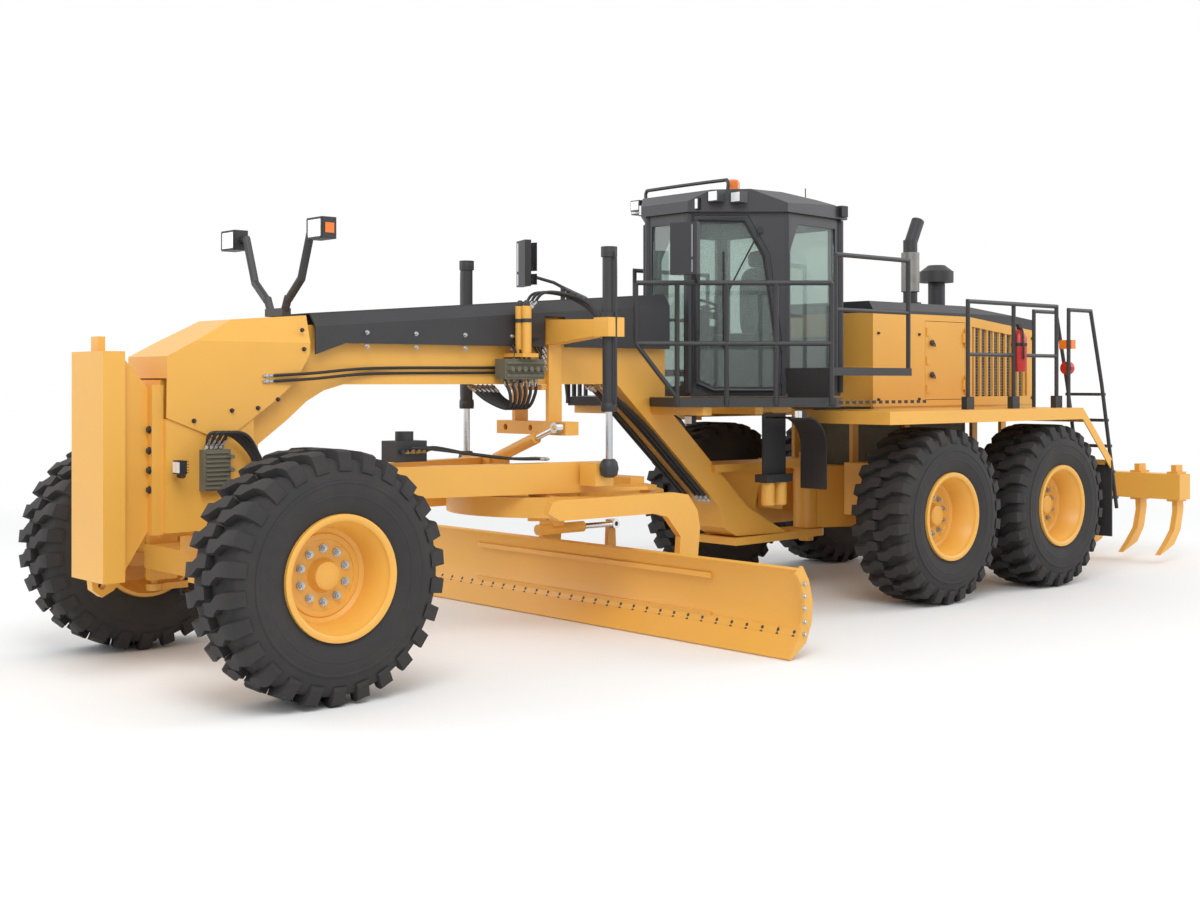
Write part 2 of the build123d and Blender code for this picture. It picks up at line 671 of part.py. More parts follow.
# Circle: toothed ring with two side arms that hook down to the blade's tip pivots
with BuildPart() as circle:
    with BuildSketch(Plane.XY.offset(CIRCLE_BOTTOM_Z)):
        with Locations((CIRCLE_X, 0)):
            Circle(CIRCLE_R)
            Circle(CIRCLE_R - CIRCLE_RING_W, mode=Mode.SUBTRACT)
    extrude(amount=CIRCLE_TOP_Z - CIRCLE_BOTTOM_Z)
    arm_outline = [
        (2900, 1030),
        (2860, 1110),
        (2780, CIRCLE_TOP_Z),
        (1560, CIRCLE_TOP_Z),
        (1400, 1100),
        (1290, 960),
        (1262, 820),
        (1305, 420),
        (1345, 300),
        (1485, 300),
        (1530, 420),
        (1500, 640),
        (1490, 760),
        (1640, 930),
        (1780, CIRCLE_BOTTOM_Z),
        (2780, CIRCLE_BOTTOM_Z),
    ]
    for side in (-1, 1):
        extrude(side_outline(arm_outline, side * ARM_Y + ARM_T / 2), amount=ARM_T)
        with Locations((CIRCLE_X + 20, side * 800, 1020)):
            Box(130, 110, 100)
    with Locations((CIRCLE_X + 20, 0, 1020)):
        Box(110, 2 * ARM_Y, 90)
    with Locations((CIRCLE_X + 20, 0, 900)):
        Box(110, 160, 150)
    with Locations(Location((TIP_X, 0, TIP_Z), (90, 0, 0))):
        Cylinder(BALL_PIN_R + RUN, 2400, mode=Mode.SUBTRACT)
    barrel_axis = Location((CIRCLE_X - 40, TIP_ROD_Y, TIP_CYLINDER_Z), (0, 90, 0))
    with Locations(barrel_axis):
        Cylinder(45, 500)
    with Locations(Location((2000, TIP_ROD_Y, TIP_CYLINDER_Z), (0, 90, 0))):
        Cylinder(TIP_ROD_R + RUN, 440, mode=Mode.SUBTRACT)
save(circle.part, "circle")

# Tip rod: slides in the circle's barrel, its eye beside the carriage's lever
with BuildPart() as tip_rod:
    add(bar((TIP_X + 30, TIP_ROD_Y, TIP_CYLINDER_Z), (1890, TIP_ROD_Y, TIP_CYLINDER_Z), TIP_ROD_R))
    with Locations(Location((TIP_X, TIP_ROD_Y, TIP_CYLINDER_Z), (90, 0, 0))):
        Cylinder(42, 50)
        Cylinder(20, 70, mode=Mode.SUBTRACT)
save(tip_rod.part, "tip_rod")

# Carriage: cross tube on the tip pivots, rail clamps for the side shift and the tip lever
CLAMP_Y = 620.0
with BuildPart() as blade_carriage:
    with Locations(Location((TIP_X, 0, TIP_Z), (90, 0, 0))):
        Cylinder(62, 2 * (ARM_Y - ARM_T / 2 - GAP))
        Cylinder(BALL_PIN_R, 2 * (ARM_Y + ARM_T / 2 + 15))
    clamp = [(1345, 300), (1480, 240), (1600, 165), (1672, 165), (1672, 575), (1590, 575), (1470, 470), (1345, 410)]
    for side in (-1, 1):
        extrude(side_outline(clamp, side * CLAMP_Y + 45), amount=90)
        for slot_z in (SLIDE_LOW_Z, SLIDE_HIGH_Z):
            with Locations((SLIDE_X + 50, side * CLAMP_Y, slot_z)):
                Box(100 + 2 * SLIDE_GAP, 120, SLIDE_H + 2 * SLIDE_GAP, mode=Mode.SUBTRACT)
    lever = [(TIP_X - 60, TIP_Z), (TIP_X + 60, TIP_Z), (TIP_X + 35, TIP_CYLINDER_Z + 35), (TIP_X - 35, TIP_CYLINDER_Z + 35)]
    extrude(side_outline(lever, TIP_ROD_Y - 25 - GAP), amount=45)
save(blade_carriage.part, "blade_carriage")

# Moldboard: curved plate with a cutting edge, end bits and two slide rails on its back
def blade_point(turn, radius):
    """A point in X and Z on the moldboard's arc."""
    return (BLADE_ARC_X + radius * cos(radians(turn)), BLADE_ARC_Z + radius * sin(radians(turn)))


BLADE_TURN_TOP = 139.7
BLADE_TURN_MID = 180.0
BLADE_TURN_LOW = 220.0
with BuildPart() as moldboard:
    with BuildSketch(Plane.XZ.offset(-BLADE_LENGTH / 2)):
        with BuildLine():
            front_top = blade_point(BLADE_TURN_TOP, BLADE_ARC_R)
            front_low = blade_point(BLADE_TURN_LOW, BLADE_ARC_R)
            back_top = blade_point(BLADE_TURN_TOP, BLADE_ARC_R + BLADE_T)
            back_low = blade_point(BLADE_TURN_LOW, BLADE_ARC_R + BLADE_T)
            ThreePointArc(front_top, blade_point(BLADE_TURN_MID, BLADE_ARC_R), front_low)
            Line(front_low, back_low)
            ThreePointArc(back_low, blade_point(BLADE_TURN_MID, BLADE_ARC_R + BLADE_T), back_top)
            Line(back_top, front_top)
        make_face()
    extrude(amount=BLADE_LENGTH)
    edge = [
        blade_point(212, BLADE_ARC_R - 20),
        blade_point(212, BLADE_ARC_R + 1),
        blade_point(220, BLADE_ARC_R + 1),
        (BLADE_EDGE_X, BLADE_EDGE_Z),
        (BLADE_EDGE_X + 12, BLADE_EDGE_Z + 12),
    ]
    extrude(side_outline(edge, BLADE_LENGTH / 2 - 2), amount=BLADE_LENGTH - 4)
    end_bit = [blade_point(turn, BLADE_ARC_R + 45) for turn in (139.7, 155, 175, 195, 213)] + [
        (BLADE_EDGE_X, BLADE_EDGE_Z),
        (BLADE_EDGE_X + 14, BLADE_EDGE_Z + 16),
    ] + [blade_point(turn, BLADE_ARC_R - 45) for turn in (213, 195, 175, 155, 139.7)]
    for side in (-1, 1):
        extrude(side_outline(end_bit, side * BLADE_LENGTH / 2 + 15), amount=30)
    for slide_z in (SLIDE_LOW_Z, SLIDE_HIGH_Z):
        with Locations((SLIDE_X + 55, 0, slide_z)):
            Box(110, 2 * SLIDE_HALF_L, SLIDE_H)
save(moldboard.part, "moldboard")

# Centre shift cylinder: the rod hangs on the link bar's pin, the barrel's eye stands by the drawbar's ear
SHIFT_START = Vector(SHIFT_X, SHIFT_START_Y, SHIFT_START_Z)
SHIFT_END = Vector(SHIFT_X, SHIFT_END_Y, SHIFT_END_Z)
SHIFT_LENGTH = (SHIFT_END - SHIFT_START).length
SHIFT_ALONG = (SHIFT_END - SHIFT_START) / SHIFT_LENGTH
with BuildPart() as centre_shift_barrel:
    with BuildSketch(Plane(origin=SHIFT_START + SHIFT_ALONG * 80, z_dir=SHIFT_ALONG)):
        Circle(48)
    extrude(amount=560)
    with BuildSketch(Plane(origin=SHIFT_START + SHIFT_ALONG * 20, z_dir=SHIFT_ALONG)):
        Circle(28)
    extrude(amount=80)
    with BuildSketch(Plane(origin=SHIFT_START + SHIFT_ALONG * 120, z_dir=SHIFT_ALONG)):
        Circle(24 + RUN)
    extrude(amount=560, mode=Mode.SUBTRACT)
    with Locations(Location(tuple(SHIFT_START), (0, 90, 0))):
        Cylinder(45, 60)
        Cylinder(22 + RUN, 100, mode=Mode.SUBTRACT)
save(centre_shift_barrel.part, "centre_shift_barrel")

with BuildPart() as centre_shift_rod:
    with BuildSketch(Plane(origin=SHIFT_START + SHIFT_ALONG * (SHIFT_LENGTH - 590), z_dir=SHIFT_ALONG)):
        Circle(24)
    extrude(amount=550)
    with Locations(Location(tuple(SHIFT_END), (0, 90, 0))):
        Cylinder(44, 60)
        Cylinder(SHIFT_PIN_R, 100, mode=Mode.SUBTRACT)
save(centre_shift_rod.part, "centre_shift_rod")

# Beam cover: black sheet over the top of the gooseneck, open below
COVER_SIDE = [
    (COVER_FRONT_X, 2225),
    (4290, 2310),
    (COVER_REAR_X, 2316),
    (COVER_REAR_X, 2800),
    (COVER_FRONT_X, 2526),
]


def cover_block(inset):
    """The cover as a full block with its two long chamfers, drawn in by an inset."""
    with BuildPart() as block:
        half_w = COVER_HALF_W - inset
        extrude(side_outline(COVER_SIDE, half_w), amount=2 * half_w)
        for side in (-1, 1):
            with BuildSketch(Plane.YZ.offset(COVER_REAR_X - 100)):
                with BuildLine():
                    low = 2708
                    Polyline(
                        (side * (200 - inset), 3000),
                        (side * (200 - inset), low + 92),
                        (side * half_w, low),
                        (side * 400, low),
                        (side * 400, 3000),
                        close=True,
                    )
                make_face()
            extrude(
                amount=4000,
                dir=Vector(COVER_FRONT_X - COVER_REAR_X, 0, 2526 - 2800),
                mode=Mode.SUBTRACT,
            )
    return block.part


with BuildPart() as beam_cover:
    add(cover_block(0))
    add(cover_block(COVER_T).moved(Location((0, 0, -COVER_T))), mode=Mode.SUBTRACT)
    with Locations((LIFT_X, 0, 2400)):
        Box(216, 700, 320, mode=Mode.SUBTRACT)
save(beam_cover.part, "beam_cover")

# Lamp mast across the nose with a work lamp at each end
MAST_X = 4690.0
MAST_Y = 620.0
MAST_Z = 3090.0
MAST_TUBE_R = 30.0
with BuildPart() as lamp_mast:
    with Locations((MAST_X, 0, 2530)):
        Box(70, 250, 57)
    for side in (-1, 1):
        add(rail([(MAST_X, side * 100, 2540), (MAST_X, side * 150, 2640)], MAST_TUBE_R))
        add(rail([(MAST_X, side * 150, 2620), (MAST_X, side * 330, 2760), (MAST_X, side * 460, MAST_Z), (MAST_X, side * 540, MAST_Z)], MAST_TUBE_R))
        with Locations((MAST_X + 10, side * MAST_Y, MAST_Z)):
            Box(110, 200, 150)
save(lamp_mast.part, "lamp_mast")

# Valves, accumulators and hose guard on the front frame
with BuildPart() as hydraulics:
    for acc_y in (BEAM_HALF_W + 115, BEAM_HALF_W + 200):
        with Locations((2700, acc_y, 2440)):
            Cylinder(38, 380)
    with Locations((2700, BEAM_HALF_W + SEAT + 125, 2240)):
        Box(160, 250, 30)
    with Locations((2700, -(BEAM_HALF_W + SEAT + 70), 2180)):
        Box(500, 140, 200)
save(hydraulics.part, "hydraulics")

# Cab shell: floor and six walls with window and door openings
CAB_PLAN = both_sides(
    [(CAB_FRONT_X, CAB_FRONT_HALF_W), (CAB_MID_X, CAB_MID_HALF_W), (CAB_REAR_X, CAB_REAR_HALF_W)]
)
DOOR_ORIGIN = Vector(CAB_FRONT_X, CAB_FRONT_HALF_W, 0)
DOOR_ALONG = (Vector(CAB_MID_X, CAB_MID_HALF_W, 0) - DOOR_ORIGIN).normalized()
DOOR_W = (Vector(CAB_MID_X, CAB_MID_HALF_W, 0) - DOOR_ORIGIN).length
DOOR_PLANE = Plane(origin=DOOR_ORIGIN, x_dir=DOOR_ALONG, z_dir=Vector(0, 0, 1).cross(DOOR_ALONG) * -1)
SIDE_ORIGIN = Vector(CAB_MID_X, CAB_MID_HALF_W, 0)
SIDE_ALONG = (Vector(CAB_REAR_X, CAB_REAR_HALF_W, 0) - SIDE_ORIGIN).normalized()
SIDE_W = (Vector(CAB_REAR_X, CAB_REAR_HALF_W, 0) - SIDE_ORIGIN).length
SIDE_PLANE = Plane(origin=SIDE_ORIGIN, x_dir=SIDE_ALONG, z_dir=Vector(0, 0, 1).cross(SIDE_ALONG) * -1)
DOOR_OUTLINE = [(30, 1990), (200, 1915), (812, 1915), (812, 2420), (708, 3165), (515, 3505), (30, 3505)]
DOOR_GLASS = [(90, 2050), (215, 1985), (745, 1985), (745, 2410), (640, 3145), (475, 3435), (90, 3435)]
SIDE_GLASS = [(80, 1980), (640, 1980), (790, 2200), (790, 3440), (200, 3440), (80, 3200)]
FRONT_GLASS = [(-205, 1990), (205, 1990), (205, 3440), (-205, 3440)]
REAR_GLASS = [(-640, 2450), (640, 2450), (640, 3440), (-640, 3440)]


def face_outline(plane, points, inset=0.0):
    """An outline on one of the cab's faces, drawn in by an inset."""
    with BuildSketch(plane) as sketch:
        with BuildLine():
            Polyline(*points, close=True)
        make_face()
        if inset:
            offset(amount=-inset, kind=Kind.INTERSECTION, mode=Mode.REPLACE)
    return sketch.sketch


FRONT_PLANE = Plane(origin=(CAB_FRONT_X, 0, 0), x_dir=(0, 1, 0), z_dir=(1, 0, 0))
REAR_PLANE = Plane(origin=(CAB_REAR_X, 0, 0), x_dir=(0, -1, 0), z_dir=(-1, 0, 0))

with BuildPart() as cab_shell:
    extrude(plan_outline(CAB_PLAN, CAB_FLOOR_Z), amount=CAB_EAVE_Z - CAB_FLOOR_Z)
    with BuildSketch(Plane.XY.offset(CAB_FLOOR_Z + CAB_FLOOR_T)):
        with BuildLine():
            Polyline(*CAB_PLAN, close=True)
        make_face()
        offset(amount=-CAB_WALL, kind=Kind.INTERSECTION, mode=Mode.REPLACE)
    extrude(amount=2000, mode=Mode.SUBTRACT)
    extrude(face_outline(FRONT_PLANE, FRONT_GLASS), amount=-CAB_WALL - 10, mode=Mode.SUBTRACT)
    extrude(face_outline(REAR_PLANE, REAR_GLASS), amount=-CAB_WALL - 10, mode=Mode.SUBTRACT)
    door_hole = extrude(face_outline(DOOR_PLANE, DOOR_OUTLINE), amount=-CAB_WALL - 10, mode=Mode.PRIVATE)
    side_hole = extrude(face_outline(SIDE_PLANE, SIDE_GLASS), amount=-CAB_WALL - 10, mode=Mode.PRIVATE)
    for hole in (door_hole, side_hole):
        add(hole, mode=Mode.SUBTRACT)
        add(mirror(hole, about=Plane.XZ, mode=Mode.PRIVATE), mode=Mode.SUBTRACT)
save(cab_shell.part, "cab_shell")

# Cab glass: front, rear and side panes seated in their openings
with BuildPart() as cab_glass:
    side_pane = extrude(
        face_outline(SIDE_PLANE.offset(-GLASS_INSET), SIDE_GLASS, SEAT), amount=-GLASS_T, mode=Mode.PRIVATE
    )
    add(side_pane)
    add(mirror(side_pane, about=Plane.XZ, mode=Mode.PRIVATE))
    extrude(face_outline(FRONT_PLANE.offset(-GLASS_INSET), FRONT_GLASS, SEAT), amount=-GLASS_T)
    extrude(face_outline(REAR_PLANE.offset(-GLASS_INSET), REAR_GLASS, SEAT), amount=-GLASS_T)
save(cab_glass.part, "cab_glass")

# Cab door on the angled face, hinged on its rear edge, with its own pane
HINGE_OUT = 16.0
DOOR_TURN = degrees(atan2(DOOR_ALONG.Y, DOOR_ALONG.X))
DOOR_HINGE = DOOR_PLANE.origin + DOOR_ALONG * 812 + DOOR_PLANE.z_dir * HINGE_OUT
with BuildPart() as cab_door:
    extrude(face_outline(DOOR_PLANE, DOOR_OUTLINE, DOOR_GAP), amount=-CAB_WALL)
    extrude(face_outline(DOOR_PLANE.offset(10), DOOR_GLASS), amount=-CAB_WALL - 20, mode=Mode.SUBTRACT)
    for hinge_z in (2050, 2350):
        with Locations((DOOR_HINGE.X, DOOR_HINGE.Y, hinge_z)):
            Cylinder(13, 90)
        with Locations(Location(tuple(DOOR_HINGE - DOOR_ALONG * 20 - DOOR_PLANE.z_dir * 8 + Vector(0, 0, hinge_z)), (0, 0, DOOR_TURN))):
            Box(40, 20, 80)
    handle = DOOR_ORIGIN + DOOR_ALONG * 60 + DOOR_PLANE.z_dir * 20
    add(rail([(handle.X, handle.Y, 2250), (handle.X, handle.Y, 2600)], 11))
    for foot_z in (2262, 2588):
        foot = handle - DOOR_PLANE.z_dir * 24
        add(rail([(foot.X, foot.Y, foot_z), (handle.X, handle.Y, foot_z)], 9))
save_pair(cab_door.part, "cab_door")

with BuildPart() as door_glass:
    extrude(face_outline(DOOR_PLANE.offset(-GLASS_INSET), DOOR_GLASS, SEAT), amount=-GLASS_T)
save_pair(door_glass.part, "door_glass")

# Cab roof: hollow cap over the eaves, falling to the rear, with lamps and beacon
with BuildPart() as cab_roof:
    with BuildSketch(Plane.XY.offset(CAB_EAVE_Z)):
        with BuildLine():
            Polyline(*CAB_PLAN, close=True)
        make_face()
        offset(amount=45, kind=Kind.INTERSECTION, mode=Mode.REPLACE)
    extrude(amount=215)
    roof_side = [
        (850, CAB_EAVE_Z),
        (850, 3590),
        (640, 3725),
        (-50, 3742),
        (-420, 3690),
        (-850, 3590),
        (-850, CAB_EAVE_Z),
    ]
    extrude(side_outline(roof_side, 1000), amount=2000, mode=Mode.INTERSECT)
    roof_front = both_sides_front([(940, CAB_EAVE_Z), (940, 3585), (620, 3760)])
    extrude(front_outline(roof_front, -1000), amount=2000, mode=Mode.INTERSECT)
    with BuildSketch(Plane.XY.offset(CAB_EAVE_Z)):
        with BuildLine():
            Polyline(*CAB_PLAN, close=True)
        make_face()
        offset(amount=-80, kind=Kind.INTERSECTION, mode=Mode.REPLACE)
    extrude(amount=70, mode=Mode.SUBTRACT)
    for lamp_x, lamp_y, lamp_z in ((640, 500, 3660), (500, 640, 3650), (-800, 560, 3590), (-800, 380, 3590)):
        for side in (-1, 1):
            with Locations((lamp_x, side * lamp_y, lamp_z)):
                Box(90, 120, 100)
save(cab_roof.part, "cab_roof")

# Cab interior: seat, steering console and levers
with BuildPart() as cab_interior:
    floor_top = CAB_FLOOR_Z + CAB_FLOOR_T
    with Locations((-250, 0, floor_top + 200)):
        Box(420, 420, 400)
    with Locations((-220, 0, floor_top + 460)):
        Box(520, 520, 120)
    extrude(side_outline([(-480, floor_top + 500), (-400, floor_top + 500), (-480, 3100), (-570, 3100)], 240), amount=480)
    extrude(side_outline([(330, floor_top), (430, floor_top), (300, 2700), (210, 2680)], 60), amount=120)
    with Locations(Location((255, 0, 2700), (0, -25, 0))):
        Cylinder(190, 24)
    for side in (-1, 1):
        with Locations((-150, side * 330, floor_top + 590)):
            Box(320, 120, 110)
        with Locations((-150, side * 330, (floor_top * 2 + 560) / 2)):
            Box(120, 90, 560)
save(cab_interior.part, "cab_interior")

# Platforms outside the cab doors, the walkways behind them, their rails and the mirrors
WALK_Z = 2150.0
CAB_RAIL_TOP_Z = 2859.0
CAB_RAIL_MID_Z = 2350.0
MIRROR_X = 1570.0
MIRROR_Y = 1040.0
MIRROR_Z = 3110.0
MIRROR_TURN = 20.0
MIRROR_ARM_R = 15.0
with BuildPart() as cab_platforms:
    for side in (-1, 1):
        deck = [(1330, 700), (330, 1590), (150, 1500), (150, 905), (790, 320), (1000, 300), (1000, 215), (1180, 215)]
        extrude(
            plan_outline([(x, side * y) for x, y in deck], PLATE_BOTTOM_Z),
            amount=PLATE_TOP_Z - PLATE_BOTTOM_Z,
        )
        corner, back = Vector(1610, side * 450, 0), Vector(320, side * 1600, 0)
        along = back - corner
        for share in (0.22, 0.46, 0.70, 0.97):
            post = corner + along * share
            add(rail([(post.X, post.Y, PLATE_BOTTOM_Z + 20), (post.X, post.Y, CAB_RAIL_TOP_Z)], RAIL_TUBE_R))
        for height in (CAB_RAIL_TOP_Z, CAB_RAIL_MID_Z):
            first = corner + along * 0.02
            last = corner + along * 0.97
            add(rail([(first.X, first.Y, height), (last.X, last.Y, height)], RAIL_TUBE_R))
        first = corner + along * 0.02
        second = corner + along * 0.22
        add(rail([(first.X, first.Y, CAB_RAIL_TOP_Z), (first.X, first.Y, CAB_RAIL_MID_Z)], RAIL_TUBE_R))
        add(rail([(first.X, first.Y, CAB_RAIL_MID_Z), (second.X, second.Y, PLATE_TOP_Z)], RAIL_TUBE_R))
        walk = [(140, 862), (-760, 772), (-1100, 772), (-1100, 1300), (140, 1300)]
        extrude(plan_outline([(x, side * y) for x, y in walk], WALK_Z - 60), amount=60)
        with Locations((148, side * 1150, (PLATE_BOTTOM_Z + WALK_Z) / 2)):
            Box(30, 480, WALK_Z - PLATE_BOTTOM_Z)
        add(rail([(-40, side * 1280, WALK_Z - 20), (-40, side * 1280, 3140), (-1080, side * 1280, 3140), (-1080, side * 1280, WALK_Z - 20)]))
        add(rail([(-40, side * 1280, 2660), (-1080, side * 1280, 2660)], 18))
        mirror_arm = [(1200, side * 815, CAB_RAIL_TOP_Z), (1330, side * 900, 2940), (1545, side * 1030, 3010)]
        add(rail(mirror_arm, MIRROR_ARM_R))
        with Locations(Location((MIRROR_X, side * MIRROR_Y, MIRROR_Z), (0, 0, side * MIRROR_TURN))):
            Box(60, 240, 420)
save(cab_platforms.part, "cab_platforms")

# Rear frame: two rails, the hitch post between its webs, the axle housing and the tail
with BuildPart() as rear_frame:
    for side in (-1, 1):
        with Locations(((RAIL_FRONT_X + RAIL_REAR_X) / 2, side * RAIL_Y, (RAIL_BOTTOM_Z + RAIL_TOP_Z) / 2)):
            Box(RAIL_FRONT_X - RAIL_REAR_X, RAIL_W, RAIL_TOP_Z - RAIL_BOTTOM_Z)
    hub_bottom = HITCH_LOWER_Z + HITCH_PLATE_T + GAP
    hub_top = HITCH_UPPER_Z - GAP
    with Locations((HITCH_X, 0, (hub_bottom + hub_top) / 2)):
        Cylinder(125, hub_top - hub_bottom)
    with Locations((HITCH_X, 0, 905)):
        Cylinder(HITCH_PIN_R, 860)
    neck = both_sides([(HITCH_X, 110), (RAIL_FRONT_X + 30, 260), (RAIL_FRONT_X - 90, 300)])
    extrude(plan_outline(neck, hub_bottom), amount=hub_top - hub_bottom)
    with Locations((RAIL_FRONT_X - 60, 0, (RAIL_BOTTOM_Z + RAIL_TOP_Z) / 2)):
        Box(150, 2 * RAIL_Y + RAIL_W, RAIL_TOP_Z - RAIL_BOTTOM_Z)
    with Locations(Location((TANDEM_X, 0, AXLE_Z), (90, 0, 0))):
        Cylinder(230, 2 * (TANDEM_CASE_Y - TANDEM_CASE_W / 2))
    with Locations((RAIL_REAR_X + 60, 0, 1000)):
        Box(160, 1060, 420)
    for side in (-1, 1):
        for lug_y in (RIPPER_ARM_Y - RIPPER_ARM_T / 2 - GAP - 20, RIPPER_ARM_Y + RIPPER_ARM_T / 2 + GAP + 20):
            lug = [(RAIL_REAR_X + 60, 560), (RAIL_REAR_X + 60, 1300), (RIPPER_PIVOT_X - 60, 1230), (RIPPER_PIVOT_X - 60, 560)]
            extrude(side_outline(lug, side * lug_y + 15), amount=30)
    with Locations(Location((RIPPER_PIVOT_X, 0, RIPPER_PIVOT_Z), (90, 0, 0))):
        Cylinder(RIPPER_PIN_R + RUN, 1200, mode=Mode.SUBTRACT)
    with Locations(Location((RIPPER_PIVOT_X, 0, RIPPER_PIVOT_Z + RIPPER_LINK_RISE), (90, 0, 0))):
        Cylinder(RIPPER_PIN_R + RUN, 1200, mode=Mode.SUBTRACT)
    for member_x, member_end in ((-1430, 640), (-2260, 1560), (-3440, 1560), (-3980, 640)):
        for side in (-1, 1):
            with Locations((member_x, side * (RAIL_Y + member_end) / 2, CROSS_TOP_Z - 30)):
                Box(90, member_end - RAIL_Y, 60)
            with Locations((member_x, side * (RAIL_Y + 20), (RAIL_TOP_Z + CROSS_TOP_Z) / 2 - 20)):
                Box(90, 40, CROSS_TOP_Z - RAIL_TOP_Z + 40)
    for side in (-1, 1):
        with Locations(((HOOD_FRONT_X + HOOD_REAR_X) / 2, side * (HOOD_HALF_W - 30), HOOD_BOTTOM_Z - SEAT - 20)):
            Box(HOOD_FRONT_X - HOOD_REAR_X - 60, 40, 40)
    for side in (-1, 1):
        with Locations((-1700, side * 560, 1000)):
            Box(900, 330, 500)
save(rear_frame.part, "rear_frame")

# Tandem cases: one rounded housing each side with the two final drives
with BuildPart() as tandem_cases:
    for side in (-1, 1):
        with BuildSketch(Plane.XZ.offset(-side * TANDEM_CASE_Y - TANDEM_CASE_W / 2)):
            with Locations((TANDEM_X, AXLE_Z)):
                SlotCenterToCenter(TANDEM_SPACING, 2 * TANDEM_CASE_HALF_H)
        extrude(amount=TANDEM_CASE_W)
        for wheel_x in (TANDEM_X - TANDEM_SPACING / 2, TANDEM_X + TANDEM_SPACING / 2):
            start = side * (TANDEM_CASE_Y + TANDEM_CASE_W / 2)
            add(bar((wheel_x, start - side * 5, AXLE_Z), (wheel_x, side * FLANGE_FACE_Y, AXLE_Z), FINAL_DRIVE_R))
save(tandem_cases.part, "tandem_cases")

# Engine: one plain block at its real place
with BuildPart() as engine_block:
    with Locations((-2500, 0, (RAIL_TOP_Z + SEAT + ENGINE_TOP_Z) / 2)):
        Box(1700, 2 * RAIL_Y - 40, ENGINE_TOP_Z - RAIL_TOP_Z - SEAT)
save(engine_block.part, "engine_block")

# Hood: side panels, front and rear walls with door and grille openings
HOOD_SIDE = [
    (HOOD_FRONT_X, HOOD_BOTTOM_Z),
    (HOOD_FRONT_X, HOOD_TOP_Z),
    (HOOD_SLOPE_X, HOOD_TOP_Z),
    (HOOD_REAR_X, HOOD_REAR_TOP_Z),
    (HOOD_REAR_X, HOOD_BOTTOM_Z),
]
GRILLE_FRONT_X = -3010.0
GRILLE_REAR_X = -4030.0
DOOR_HINGE_X = DOOR_REAR_X + DOOR_GAP
with BuildPart() as hood_panels:
    extrude(side_outline(HOOD_SIDE, HOOD_HALF_W), amount=2 * HOOD_HALF_W)
    with Locations(((HOOD_FRONT_X + HOOD_REAR_X) / 2, 0, 2200)):
        Box(HOOD_FRONT_X - HOOD_REAR_X - 2 * HOOD_T, 2 * (HOOD_HALF_W - HOOD_T), 1200, mode=Mode.SUBTRACT)
    with Locations(((DOOR_FRONT_X + DOOR_REAR_X) / 2, 0, (DOOR_BOTTOM_Z + DOOR_TOP_Z) / 2)):
        Box(DOOR_FRONT_X - DOOR_REAR_X, 2 * HOOD_HALF_W + 10, DOOR_TOP_Z - DOOR_BOTTOM_Z, mode=Mode.SUBTRACT)
    grille = [
        (GRILLE_FRONT_X, 1880),
        (GRILLE_FRONT_X, 2600),
        (GRILLE_REAR_X, 2500),
        (GRILLE_REAR_X, 1880),
    ]
    extrude(side_outline(grille, HOOD_HALF_W + 5), amount=2 * HOOD_HALF_W + 10, mode=Mode.SUBTRACT)
    for side in (-1, 1):
        for step in range(9):
            with Locations((GRILLE_FRONT_X - 51 - step * 115, side * (HOOD_HALF_W - HOOD_T / 2), 2230)):
                Box(22, HOOD_T - 12, 720)
    for side in (-1, 1):
        for hinge_z in (2000, 2480):
            for shift in (-1, 1):
                with Locations((DOOR_HINGE_X, side * (HOOD_HALF_W + 16), hinge_z + shift * (55 + FACE_GAP + 18))):
                    Cylinder(12, 36)
                with Locations((DOOR_HINGE_X - 24, side * (HOOD_HALF_W + 8), hinge_z + shift * (55 + FACE_GAP + 18))):
                    Box(48, 18, 36)
    for rib_z in (1950, 2050, 2150, 2250, 2350, 2450):
        with Locations((HOOD_REAR_X, 0, rib_z)):
            Box(30, 1000, 40)
save(hood_panels.part, "hood_panels")

# Hood top: black lid with chamfered edges
LID_TOP = [
    (HOOD_FRONT_X, HOOD_TOP_Z + HOOD_LID_T),
    (HOOD_SLOPE_X, HOOD_TOP_Z + HOOD_LID_T),
    (HOOD_REAR_X, HOOD_REAR_TOP_Z + HOOD_LID_T),
]
LID_UNDER = [
    (HOOD_REAR_X, HOOD_REAR_TOP_Z + SEAT),
    (HOOD_SLOPE_X, HOOD_TOP_Z + SEAT),
    (HOOD_FRONT_X, HOOD_TOP_Z + SEAT),
]
LID_SIDE = LID_TOP + LID_UNDER
with BuildPart() as hood_top:
    extrude(side_outline(LID_SIDE, HOOD_HALF_W), amount=2 * HOOD_HALF_W)
    lid_front = both_sides_front([(HOOD_HALF_W, 2000), (HOOD_HALF_W, HOOD_TOP_Z + 30), (HOOD_HALF_W - 110, 2900)])
    extrude(front_outline(lid_front, HOOD_REAR_X - 10), amount=3000, mode=Mode.INTERSECT)
save(hood_top.part, "hood_top")

# Engine doors: one each side, hinged on the rear edge
with BuildPart() as engine_door:
    with Locations(((DOOR_FRONT_X + DOOR_REAR_X) / 2, HOOD_HALF_W - HOOD_T / 2, (DOOR_BOTTOM_Z + DOOR_TOP_Z) / 2)):
        Box(
            DOOR_FRONT_X - DOOR_REAR_X - 2 * DOOR_GAP,
            HOOD_T,
            DOOR_TOP_Z - DOOR_BOTTOM_Z - 2 * DOOR_GAP,
        )
    for hinge_z in (2000, 2480):
        with Locations((DOOR_HINGE_X, HOOD_HALF_W + 16, hinge_z)):
            Cylinder(12, 110)
        with Locations((DOOR_HINGE_X + 20, HOOD_HALF_W + 8, hinge_z)):
            Box(40, 18, 100)
    for latch_z in (1960, 2245, 2530):
        with Locations((DOOR_FRONT_X - 50, HOOD_HALF_W + 5, latch_z)):
            Box(60, 14, 80)
save_pair(engine_door.part, "engine_door")

